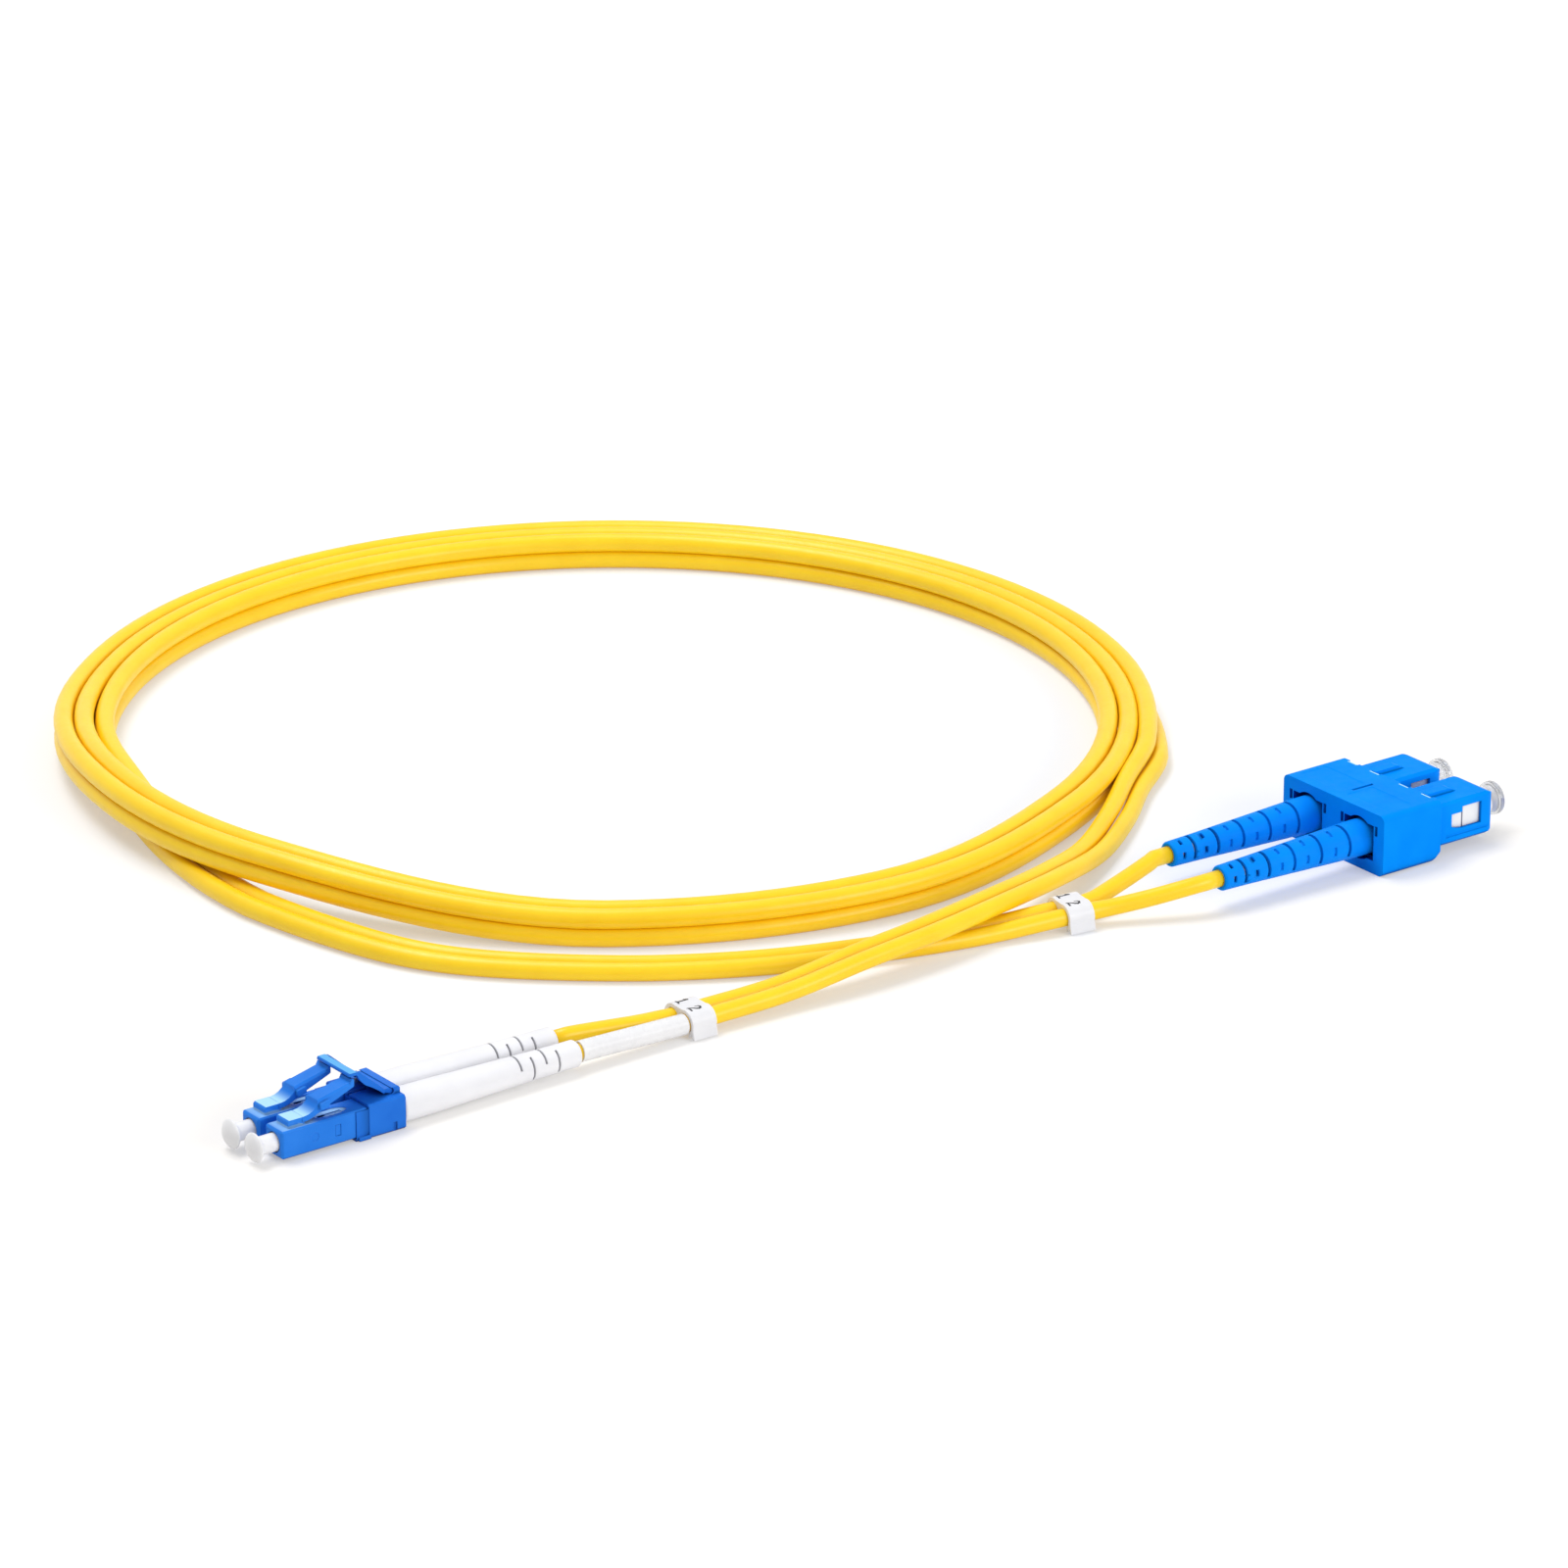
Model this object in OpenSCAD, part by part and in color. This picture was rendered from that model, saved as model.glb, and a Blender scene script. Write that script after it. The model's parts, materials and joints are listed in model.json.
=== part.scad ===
// Duplex single-mode fibre patch cord: two LC plugs in a latch clip, a coiled zip cord, two SC plugs
// in a duplex clip. Millimetres. The connectors' row runs along X, LC noses to -X and SC noses to +X,
// the floor is z = 0 and the coil lies on the +Y side.

/* [Cord] */
// outside diameter of each leg's jacket
cord_d = 2.8; // [2.6:0.05:3.0]
// gap bridged by the web between the two legs
web_gap = 0.3; // [0.3:0.02:0.4]
// diameter of the buffered fibre inside the jacket
buffer_d = 0.9; // [0.6:0.05:1.0]
// radius of the outer turn, measured to the middle of the cord
coil_r = 91.4; // [88:0.2:95]
// step from one turn to the next
turn_pitch = 3.4; // [3.3:0.05:3.6]

/* [LC plugs] */
// width and height of one LC housing
lc_w = 4.52; // [4.42:0.01:4.6]
// distance between the two LC ferrules
lc_pitch = 6.25; // [6.2:0.01:6.3]
// diameter of the LC ferrule
lc_ferrule_d = 1.249; // [1.2:0.001:1.3]
// how far the LC ferrule stands out of the nose
lc_ferrule_out = 1.9; // [1.6:0.05:2.1]
// length of housing in front of the duplex clip
lc_nose_l = 13.2; // [12.6:0.1:14]
// length of housing seated in the duplex clip
lc_seat_l = 3; // [2.7:0.1:3.4]
// width of the latch arm
latch_w = 3; // [2.8:0.05:3.2]
// how far along the housing the latch arm ends
latch_end = 13.6; // [13.5:0.05:13.8]

/* [LC duplex clip] */
// length of the duplex clip
lc_clip_l = 8.8; // [8.6:0.1:9.4]
// width of the duplex clip
lc_clip_w = 11.6; // [11.4:0.05:12]
// height of the duplex clip
lc_clip_h = 5.5; // [5.4:0.05:5.6]
// width of the trigger's bar over both latches
trigger_w = 8.6; // [8.2:0.1:9]
// height of the trigger's bar over the plug's axis
trigger_top = 7.95; // [7.9:0.05:8.2]

/* [LC boots] */
// length of boot behind the duplex clip
lc_boot_l = 33; // [30:0.5:34]
// boot diameter at the clip
lc_boot_d = 5.5; // [5.2:0.05:5.5]
// boot diameter at the cord end
lc_boot_tip_d = 4.3; // [4.1:0.05:4.6]

/* [SC plugs] */
// width of one SC housing
sc_w = 8.99; // [8.8:0.01:9.1]
// height of one SC housing
sc_h = 7.39; // [7.3:0.01:7.5]
// distance between the two SC ferrules
sc_pitch = 12.7; // [12.6:0.05:12.8]
// diameter of the SC ferrule
sc_ferrule_d = 2.499; // [2.45:0.001:2.55]
// how far the SC ferrule stands out of the nose
sc_ferrule_out = 1.2; // [1:0.05:1.5]
// length of the SC outer housing
sc_shell_l = 23.4; // [23:0.1:24]
// side wall of the SC outer housing
sc_wall = 0.55; // [0.5:0.01:0.6]
// width of the key on the SC housing
sc_key_w = 2; // [1.8:0.05:2.2]
// height of the key on the SC housing
sc_key_h = 0.7; // [0.6:0.05:0.9]

/* [SC duplex clip] */
// width of the SC duplex clip
sc_clip_w = 24.9; // [24.6:0.1:25.4]
// height of the SC duplex clip
sc_clip_h = 10.5; // [10.4:0.1:11]
// thickness of the SC duplex clip's rear wall
sc_clip_wall = 1.5; // [1.3:0.05:1.8]
// length of housing in front of the SC duplex clip
sc_nose_l = 12.6; // [12.2:0.1:13]

/* [SC boots] */
// length of boot behind the SC duplex clip
sc_boot_l = 29.5; // [28:0.5:31]
// boot diameter at the housing
sc_boot_d = 6.1; // [5.8:0.05:6.1]
// boot diameter at the cord end
sc_boot_tip_d = 4.2; // [4.1:0.05:4.6]

/* [Dust caps] */
// diameter of the LC cap's stem
lc_cap_d = 2.9; // [2.7:0.05:3]
// diameter of the LC cap's head
lc_cap_head_d = 4.7; // [4.4:0.1:5]
// diameter of the SC cap's stem
sc_cap_d = 4.6; // [4.4:0.1:4.7]
// diameter of the SC cap's head
sc_cap_head_d = 5.6; // [5.4:0.1:6]

/* [Marker clips and sleeve] */
// length of a marker clip along the cord
marker_l = 4.5; // [4:0.1:5]
// wall of a marker clip's rings
marker_wall = 0.7; // [0.6:0.05:0.75]
// wall of the label sleeve
sleeve_wall = 0.22; // [0.2:0.02:0.26]
// length of the label sleeve
sleeve_l = 19.8; // [18:0.1:20]

/* [Fits] */
// radial clearance of a part that slides or turns
slide_gap = 0.05; // [0.03:0.005:0.06]
// clearance between parts assembled for good
seat_gap = 0.02; // [0.01:0.005:0.03]
// radial clearance of a marker clip on the jacket
marker_gap = 0.16; // [0.14:0.01:0.2]
// radial clearance of the label sleeve on the jacket
sleeve_gap = 0.06; // [0.04:0.01:0.1]

/* [Hidden] */
$fn = 48;
blue = [0.16, 0.48, 0.88];
bright_blue = [0.0, 0.47, 1.0];
white = [0.93, 0.93, 0.95];
clear = [0.88, 0.9, 0.92, 0.5];
yellow = [0.98, 0.83, 0.1];
metal = [0.72, 0.73, 0.75];
ceramic = [0.96, 0.95, 0.92];

// ---- LC plug, along +X from its nose, heights from the ferrule's axis ----
lc_nose_x = -114.5;
lc_row_y = 6.4;
lc_axis_z = lc_clip_h / 2;
lc_half = lc_w / 2;
lc_housing_l = lc_nose_l + lc_seat_l;
lc_bore_r = lc_cap_d / 2 + 0.17;
lc_lip_x = 3.7;
lc_lip_r = 1.15;
lc_cavity_x = 4.2;
lc_cavity_r = lc_half - 0.41;
lc_bevel = 0.28;
foot_x = 1.6;
foot_w = latch_w + 0.1;
foot_top = lc_half + 1.2;
hinge_r = 0.45;
latch_hinge = [4.6, foot_top - hinge_r];
ear_w = 4.2;
window_x = 9.6;
window_l = 1;
window_z = 0.9;
recess_l = 6;
recess_w = 2.5;
recess_x = 9.9;
key_slot_w = 0.6;
key_slot_l = 4.2;

lc_collar_r = lc_cavity_r - 0.4;
lc_collar_l = 0.9;
lc_tube_r = 0.95;
lc_tube_end = 10.6;
lc_stop_x = 9.2;
lc_stop_end = lc_housing_l + 4.4;
lc_barrel_r = 1.55;
lc_crimp_wall = 0.4;
lc_crimp_end = lc_stop_end + 3.8;
lc_ferrule_end = 5.6;
lc_push = 0.8;
lc_spring_wire = 0.32;
lc_spring_turns = 5;

lc_clip_end = lc_nose_l + lc_clip_l;
lc_block_x = lc_nose_l + 2.2;
trigger_hinge = [lc_clip_end - 1.6, lc_clip_h / 2 + 0.5];
trigger_bar_l = 1.4;
trigger_t = 0.5;
trigger_front = latch_end - 0.7;
lc_boot_neck_r = lc_half + 0.02;
lc_boot_tip = lc_clip_end + lc_boot_l;
lc_jacket_x = lc_stop_end + 0.8;
jacket_r = cord_d / 2;
boot_bore_r = jacket_r + seat_gap;

// ---- SC plug, along +X with its nose face at 0, heights from the ferrule's axis ----
sc_nose_x = 114.6;
sc_row_y = 0;
sc_axis_z = sc_clip_h / 2;
sc_bevel = 0.5;
sc_half = sc_w / 2;
sc_top = sc_h / 2;
sc_cavity_y = sc_half - sc_wall;
sc_cavity_z = sc_top - 0.945;
sc_rear_cavity_z = sc_top - 0.49;
sc_rear_x = -sc_shell_l + 6.4;
sc_frame_front = -1.2;
sc_frame_end = 2.6 - sc_shell_l;
sc_frame_y = sc_cavity_y - slide_gap;
sc_frame_z = sc_cavity_z - slide_gap;
sc_bore_r = sc_cap_d / 2 + 0.14;
sc_lip_x = -5.2;
sc_cavity_x = -6;
sc_lip_r = 1.7;
sc_collar_r = sc_bore_r - 0.1;
sc_collar_l = 2.2;
sc_tube_r = 1.55;
sc_tube_end = -17.4;
sc_ferrule_end = -8.4;
sc_push = 1;
sc_spring_wire = 0.45;
sc_spring_turns = 6;
sc_stop_x = -15.6;
sc_stop_end = sc_frame_end - 7.8;
sc_barrel_r = 1.95;
sc_crimp_wall = 0.35;
sc_crimp_end = sc_stop_end - 4.4;
sc_key_front = -5;
sc_key_rear = -sc_nose_l + 1.2;
sc_window_front = -2.5;
sc_window_l = 6.35;
sc_clip_front = -sc_nose_l;
sc_clip_rear = -sc_shell_l - 0.1 - sc_clip_wall;
sc_boot_x = sc_frame_end - 0.2;
sc_boot_tip = sc_clip_rear - sc_boot_l;
sc_jacket_x = sc_stop_end - 1.4;
sc_opening_y = 3.6;
sc_opening_z = 3;

// ---- cord: centre, height, twist (0 flat, 90 on edge) and half the leg spacing ----
coil_centre = [26.2, 113.8];
leg_half = (cord_d + web_gap) / 2;
floor_z = jacket_r + 0.05;
steps_per_turn = 24;
coil_start = -45;
coil_end = 930;
coil_steps = (coil_end - coil_start) * steps_per_turn / 360;
hump_rise = 3.75;
clip_leg_half = leg_half + 0.1;
lc_exit = [lc_nose_x + lc_boot_tip, lc_row_y, lc_axis_z, 0, lc_pitch / 2];
sc_exit = [sc_nose_x + sc_boot_tip, sc_row_y, sc_axis_z, 0, sc_pitch / 2];
straight = [cord_d + 0.2, 0, 0, 0, 0];
lc_route = [
    [-40, 4.9, 2.25, 0, 1.65], [-33, 4.8, 2.25, 0, 1.65], [-19, 4.2, 2.7, 0, 1.55], [-4, 4, 4.4, 0, 1.55],
    [11, 5.2, 5, 0, 1.55], [26, 8, 5.1, 0, 1.55], [41, 13, 4, 0, 1.55], [56, 20.8, 2.1, 6, 1.55],
    [69, 30, 2, 22, 1.55], [80, 39.2, 2.5, 42, 1.55]
];
sc_route = [
    [-55, 49.5, 1.45, 0, 1.55], [-43.5, 37, 1.45, 0, 1.55], [-29, 25.6, 1.45, 0, 1.55],
    [-13, 16.6, 1.45, 0, 1.55], [4, 10.4, 1.45, 0, 1.55], [20, 6.2, 1.45, 0, 1.55],
    [33.5, 3.2, 2.2, 0, 1.65], [40.5, 2, 2.4, 0, 1.7], [49, 0.9, 3.7, 0, 4.1]
];

// ---------------------------------------------------------------- shapes

// box from its two corners
module box(low, high) {
    translate(low)
        cube(high - low);
}

// cylinder along X
module rod(x0, x1, r) {
    translate([min(x0, x1), 0, 0])
        rotate([0, 90, 0])
            cylinder(h = abs(x1 - x0), r = r);
}

// solid of revolution about X from [x, r] points
module turned(points) {
    rotate([0, 90, 0])
        rotate_extrude()
            polygon([for (p = points) [p[1], p[0]]]);
}

// part of a ring about X, cut from the outside down to r_in
module arc_slot(x, w, r_in, r_out, angle, middle) {
    translate([x, 0, 0])
        rotate([0, 90, 0])
            rotate([0, 0, middle - angle / 2])
                rotate_extrude(angle = angle)
                    translate([r_in, 0])
                        square([r_out - r_in, w]);
}

// section in Y-Z, carried along X
module beam(x0, x1) {
    translate([x0, 0, 0])
        rotate([90, 0, 90])
            linear_extrude(x1 - x0)
                children();
}

// outline in X-Z, carried across Y
module plate(width) {
    translate([0, width / 2, 0])
        rotate([90, 0, 0])
            linear_extrude(width)
                children();
}

// rectangle with bevelled corners, centred
module bevelled(half_y, half_z, c) {
    polygon([
        [-half_y + c, -half_z], [half_y - c, -half_z], [half_y, -half_z + c], [half_y, half_z - c],
        [half_y - c, half_z], [-half_y + c, half_z], [-half_y, half_z - c], [-half_y, -half_z + c]
    ]);
}

// rectangle with round corners, centred
module rounded(half_y, half_z, r) {
    union() {
        square([2 * half_y, 2 * (half_z - r)], center = true);
        square([2 * (half_y - r), 2 * half_z], center = true);
        for (y = [-1, 1], z = [-1, 1])
            translate([y * (half_y - r), z * (half_z - r)])
                circle(r = r);
    }
}

// wedge that bevels a nose's four front edges
module nose_bevels(half_y, half_z, c) {
    for (s = [-1, 1]) {
        translate([0, 0, s * half_z])
            rotate([0, 45, 0])
                cube([c * sqrt(2), 4 * half_y, c * sqrt(2)], center = true);
        translate([0, s * half_y, 0])
            rotate([0, 0, 45])
                cube([c * sqrt(2), c * sqrt(2), 4 * half_z], center = true);
    }
}

// ---------------------------------------------------------------- swept tubes

function unit(v) = v / norm(v);
function last(i, list) = min(i, len(list) - 1);
function along(path, i) = unit(path[last(i + 1, path)] - path[max(i - 1, 0)]);

// points of the ring round point i
function ring(path, i, r, sides) =
    let (t = along(path, i),
         ref = abs(t[0]) > 0.9 ? [0, 0, 1] : abs(t[2]) > 0.8 ? [1, 0, 0] : [0, 0, 1],
         u = unit(cross(ref, t)),
         v = cross(t, u))
    [for (k = [0:sides - 1])
        let (a = 360 * (k + 0.5) / sides)
        path[i] + r * (cos(a) * u + sin(a) * v)];

// ring whose first point lies outwards from the X axis, for a wire wound round it
function radial_ring(path, i, r, sides) =
    let (t = along(path, i),
         u = unit([0, path[i][1], path[i][2]]),
         w = unit(u - (u * t) * t),
         v = cross(t, w))
    [for (k = [0:sides - 1])
        let (a = 360 * k / sides)
        path[i] + r * (cos(a) * w + sin(a) * v)];

// closed skin over rings of points, all faces triangles
module skin(points, sides) {
    n = len(points) / sides;
    side_faces = [for (i = [0:n - 2], k = [0:sides - 1], half = [0, 1])
        let (a = i * sides + k,
             b = i * sides + (k + 1) % sides)
        half == 0 ? [a, a + sides, b] : [b, a + sides, b + sides]];
    first_cap = [for (k = [1:sides - 2]) [0, k, k + 1]];
    end_cap = [for (k = [1:sides - 2])
        let (e = (n - 1) * sides)
        [e, e + k + 1, e + k]];
    polyhedron(points, concat(side_faces, first_cap, end_cap));
}

// helical wire about X between x0 and x1
module spring(x0, x1, mean_r, wire_d, turns) {
    rings = 8 * turns;
    length = x1 - x0 - wire_d;
    path = [for (i = [0:rings])
        let (t = i / rings, a = 360 * turns * t)
        [x0 + wire_d / 2 + length * t, mean_r * cos(a), mean_r * sin(a)]];
    skin([for (i = [0:rings]) each radial_ring(path, i, wire_d / 2, 6)], 6);
}

// ---------------------------------------------------------------- the cord's route

function ease(u, a, b) = let (t = max(0, min(1, (u - a) / (b - a)))) t * t * (3 - 2 * t);

// twist of the pair at u degrees along the coil
function coil_twist(u) = 90 * (ease(u, -74, -20) - ease(u, 864, 912));

// lift where the coil passes over its own inner end
function hump(u) = hump_rise * (ease(u, 128, 172) - ease(u, 196, 234));

// radius of the pair: each turn steps in at the right front, the inner end dives outwards
function coil_radius(u) =
    coil_r
    - turn_pitch * (ease(u, 264, 294) + ease(u, 624, 654))
    + 22 * ease(u, 878, 954)
    + 6.5 * (1 - ease(u, -100, -26))
    - (u > 600 ? leg_half * cos(coil_twist(u)) : 0);

function coil_half(u) = leg_half + 0.14 * sin(2 * coil_twist(u));

function coil_point(u) =
    let (r = coil_radius(u),
         z = floor_z + coil_half(u) * sin(coil_twist(u)) + hump(u) + hump(u - 360))
    [coil_centre[0] + r * cos(u), coil_centre[1] + r * sin(u), z, coil_twist(u), coil_half(u)];

coil_route = [for (i = [0:coil_steps]) coil_point(coil_start + i * 360 / steps_per_turn)];

// smooth curve through the hand-placed points, one point between those over 9 apart
function between(p, i, t) =
    0.5 * (2 * p[i] + (p[i + 1] - p[i - 1]) * t
        + (2 * p[i - 1] - 5 * p[i] + 4 * p[i + 1] - p[i + 2]) * t * t
        + (3 * p[i] - p[i - 1] - 3 * p[i + 1] + p[i + 2]) * t * t * t);
function gap_of(a, b) = norm([a[0] - b[0], a[1] - b[1], a[2] - b[2]]);
function smooth(p) = [for (i = [1:len(p) - 3])
    let (k = gap_of(p[i], p[i + 1]) > 9 ? 2 : 1)
    for (j = [0:k - 1]) between(p, i, j / k)];

lc_path = concat(
    [lc_exit],
    smooth(concat([lc_exit, lc_exit + straight], lc_route, [coil_route[0], coil_point(coil_start + 10)])));
sc_path = concat(
    smooth(concat(
        [coil_point(coil_end - 10), coil_route[coil_steps]], sc_route, [sc_exit - straight, sc_exit])),
    [sc_exit - straight, sc_exit]);

whole_path = concat(lc_path, coil_route, [for (i = [1:len(sc_path) - 1]) sc_path[i]]);
coil_first = len(lc_path);
coil_last = coil_first + coil_steps;

// one leg: side +1 is the left leg going from LC to SC, which is on top in the coil
function plan_dir(i) =
    i < 2 || i > len(whole_path) - 3
    ? [1, 0]
    : unit([whole_path[i + 1][0] - whole_path[i - 1][0], whole_path[i + 1][1] - whole_path[i - 1][1]]);
function leg_point(i, side) =
    let (p = whole_path[i],
         d = plan_dir(i),
         across = side * p[4])
    [p[0] - d[1] * across * cos(p[3]), p[1] + d[0] * across * cos(p[3]), p[2] + across * sin(p[3])];

legs = [for (side = [1, -1]) [for (i = [0:len(whole_path) - 1]) leg_point(i, side)]];
function leg_part(leg, from, to) = [for (i = [from:to]) legs[leg][i]];

// one leg's jacket from one route point to another; rings where two stretches meet are alike
module leg_tube(leg, from, to, sides) {
    skin([for (i = [from:to]) each ring(legs[leg], i, jacket_r, sides)], sides);
}

// least distance between turns, less the jacket, taken at points and half way between them
function halves(path) = [for (i = [0:len(path) - 2]) each [path[i], (path[i] + path[i + 1]) / 2]];
function own_gap(path) =
    let (p = halves(path))
    min([for (i = [0:len(p) - 1])
        for (j = [i + 20:1:len(p) - 1])
            norm(p[i] - p[j])]) - cord_d;
function route_length(path) =
    let (steps = [for (i = [0:len(path) - 2]) norm(path[i + 1] - path[i])])
    steps * [for (s = steps) 1];

echo(coil_a_least_gap_to_itself = own_gap(leg_part(0, coil_first, coil_last)));
echo(coil_b_least_gap_to_itself = own_gap(leg_part(1, coil_first, coil_last)));
echo(leg_a_length = route_length(legs[0]), leg_b_length = route_length(legs[1]));

// ---------------------------------------------------------------- LC plug

module at_lc(side) {
    translate([lc_nose_x, lc_row_y + side * lc_pitch / 2, lc_axis_z])
        children();
}

module at_lc_row() {
    translate([lc_nose_x, lc_row_y, lc_axis_z])
        children();
}

// square housing with the latch's foot, bored through, with side windows and a keyed recess on top
module lc_housing() {
    color(blue)
        difference() {
            union() {
                beam(0, lc_housing_l)
                    bevelled(lc_half, lc_half, lc_bevel);
                plate(foot_w)
                    polygon([
                        [foot_x, lc_half - 0.3], [latch_hinge[0], lc_half - 0.3], [latch_hinge[0], foot_top],
                        [foot_x + 0.3, foot_top], [foot_x, foot_top - 0.3]
                    ]);
            }
            nose_bevels(lc_half, lc_half, 0.35);
            rod(-1, lc_lip_x, lc_bore_r);
            rod(0, lc_housing_l, lc_lip_r);
            rod(lc_cavity_x, lc_housing_l + 1, lc_cavity_r);
            box([window_x, -lc_w, -window_z], [window_x + window_l, lc_w, window_z]);
            lc_top_recess();
            for (side = [-1, 1])
                translate([5.9, side * (lc_half + 0.42), 0])
                    rotate([90, 0, 0])
                        cylinder(h = 1, r = 0.7, center = true);
            latch_groove();
        }
}

// oval recess round the key slot
module lc_top_recess() {
    translate([recess_x, 0, lc_half - 0.3])
        linear_extrude(1)
            polygon([for (a = [0:10:350]) [recess_l / 2 * cos(a), recess_w / 2 * sin(a)]]);
    box([recess_x - key_slot_l / 2, -key_slot_w / 2, lc_half - 0.7],
        [recess_x + key_slot_l / 2, key_slot_w / 2, lc_half + 1]);
}

// round groove at the back of the foot, where the latch arm rolls
module latch_groove() {
    translate([latch_hinge[0], 0, latch_hinge[1]])
        rotate([90, 0, 0])
            cylinder(h = lc_w, r = hinge_r + slide_gap, center = true);
}

// spring arm that rises over the housing, with the two shoulders that lock in an adapter
module lc_latch() {
    root = latch_hinge;
    top = lc_half;
    end = latch_end;
    slope = 13;
    edge = 0.25;
    color(blue) {
        difference() {
            plate(latch_w)
                polygon([
                    [root[0], root[1] - hinge_r], [5.2, top + 0.35], [6, top + 0.55], [6.9, top + 0.95],
                    [7.8, top + 1.35], [8.6, top + 1.75], [end - 0.2, top + 3.6], [end, top + 3.75],
                    [end, top + 4.7], [end - 0.05, top + 4.87], [end - 0.45, top + 4.87],
                    [end - 0.6, top + 4.45], [7.35, top + 3.15], [7.1, top + 3], [6.95, top + 2.3],
                    [6.7, top + 2.1], [6.1, top + 1.62], [5.3, top + 1.3], [root[0], root[1] + hinge_r]
                ]);
            for (side = [-1, 1])
                translate([7, side * latch_w / 2, top + 3.1])
                    rotate([0, -slope, 0])
                        rotate([45, 0, 0])
                            box([-0.3, -edge, -edge], [6, edge, edge]);
        }
        translate([root[0], 0, root[1]])
            rotate([90, 0, 0])
                cylinder(h = latch_w, r = hinge_r, center = true);
        plate(ear_w)
            polygon([
                [7.15, top + 1.9], [7.45, top + 1.6], [8.85, top + 1.95], [8.85, top + 2.85],
                [8.65, top + 2.95], [7.3, top + 2.65], [7.15, top + 2.5]
            ]);
    }
}

module lc_ferrule() {
    color(ceramic)
        turned([
            [-lc_ferrule_out, 0], [-lc_ferrule_out, lc_ferrule_d / 2 - 0.25],
            [-lc_ferrule_out + 0.15, lc_ferrule_d / 2], [lc_ferrule_end, lc_ferrule_d / 2],
            [lc_ferrule_end, 0]
        ]);
}

// metal collar that holds the ferrule and carries the spring
module lc_flange() {
    collar_x = lc_cavity_x + 0.05;
    color(metal)
        difference() {
            union() {
                rod(collar_x, collar_x + lc_collar_l, lc_collar_r);
                rod(collar_x, lc_tube_end, lc_tube_r);
            }
            rod(collar_x - 1, lc_ferrule_end, lc_ferrule_d / 2);
            rod(lc_ferrule_end - 0.5, lc_tube_end + 1, buffer_d / 2 + slide_gap);
        }
}

module lc_spring() {
    color(metal)
        spring(lc_cavity_x + 0.1 + lc_collar_l, lc_stop_x - 0.05, lc_tube_r + 0.3, lc_spring_wire,
            lc_spring_turns);
}

// rear insert that closes the housing and takes the crimp
module lc_stop_body() {
    push_room = lc_tube_end + lc_push + 0.4;
    color(blue)
        difference() {
            union() {
                rod(lc_stop_x, lc_housing_l - 0.1, lc_cavity_r - seat_gap);
                rod(lc_stop_x, lc_stop_end, lc_barrel_r);
                box([window_x + 0.05, -lc_half + 0.1, -window_z + 0.05],
                    [window_x + window_l - 0.05, lc_half - 0.1, window_z - 0.05]);
            }
            rod(lc_stop_x - 1, push_room, lc_tube_r + slide_gap);
            rod(lc_stop_x, lc_stop_end + 1, buffer_d / 2 + 0.25);
            for (x = [lc_housing_l + 1:0.9:lc_stop_end - 0.6])
                arc_slot(x, 0.35, lc_barrel_r - 0.12, lc_barrel_r + 1, 360, 0);
        }
}

module lc_crimp_sleeve() {
    wide = lc_barrel_r + seat_gap;
    narrow = jacket_r + seat_gap;
    shoulder = lc_stop_end + 0.3;
    color(metal)
        turned([
            [lc_housing_l + 0.3, wide], [shoulder, wide], [shoulder + 0.2, narrow], [lc_crimp_end, narrow],
            [lc_crimp_end, narrow + 0.3], [shoulder + 0.6, narrow + 0.3],
            [shoulder + 0.2, wide + lc_crimp_wall], [lc_housing_l + 0.3, wide + lc_crimp_wall]
        ]);
}

module lc_buffer() {
    color(white)
        rod(lc_ferrule_end + lc_push + 0.4, lc_boot_tip - 1, buffer_d / 2);
}

module jacket(x0, x1, end_x) {
    color(yellow)
        difference() {
            rod(x0, x1, jacket_r);
            rod(min(x0, x1) - 1, end_x, buffer_d / 2 + seat_gap);
        }
}

// tapered boot with half-ring flex slots near the cord end
module lc_boot() {
    collar = lc_clip_end + 0.05;
    tip_r = lc_boot_tip_d / 2;
    root_r = lc_boot_d / 2;
    inner = lc_crimp_end + 0.4;
    room = lc_barrel_r + lc_crimp_wall + 2 * seat_gap;
    color(white)
        difference() {
            turned([
                [lc_housing_l + 0.3, boot_bore_r], [lc_housing_l + 0.3, lc_boot_neck_r],
                [collar, lc_boot_neck_r], [collar, root_r - 0.2], [collar + 0.25, root_r],
                [collar + 6, root_r - 0.02], [collar + 15, root_r - 0.28], [lc_boot_tip - 7, tip_r + 0.06],
                [lc_boot_tip - 0.25, tip_r], [lc_boot_tip, tip_r - 0.2], [lc_boot_tip, boot_bore_r]
            ]);
            rod(lc_housing_l, inner, room);
            for (i = [0:3], side = [0, 180])
                arc_slot(lc_boot_tip - 4.5 - 2.35 * i, 0.35, tip_r - 0.4, root_r + 1, 105,
                    side + (i % 2 == 0 ? 78 : 20));
        }
}

// closed mushroom cap over the ferrule
module lc_dust_cap() {
    head_r = lc_cap_head_d / 2;
    stem_r = lc_cap_d / 2;
    hole_r = lc_ferrule_d / 2 + slide_gap;
    hole_end = -lc_ferrule_out - 0.5;
    color(white)
        turned([
            [-4.4, 0], [-4.38, 0.2 * head_r], [-4.25, 0.47 * head_r], [-4, 0.72 * head_r],
            [-3.7, 0.91 * head_r], [-3.45, head_r], [-3.25, 0.98 * head_r], [-3.1, head_r - 0.25],
            [-3, head_r - 0.5], [-2.8, stem_r + 0.15], [-2.5, stem_r + 0.03], [-2.2, stem_r],
            [lc_lip_x - 0.4, stem_r], [lc_lip_x - 0.4, hole_r], [hole_end, hole_r], [hole_end - 0.3, 0]
        ]);
}

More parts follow.
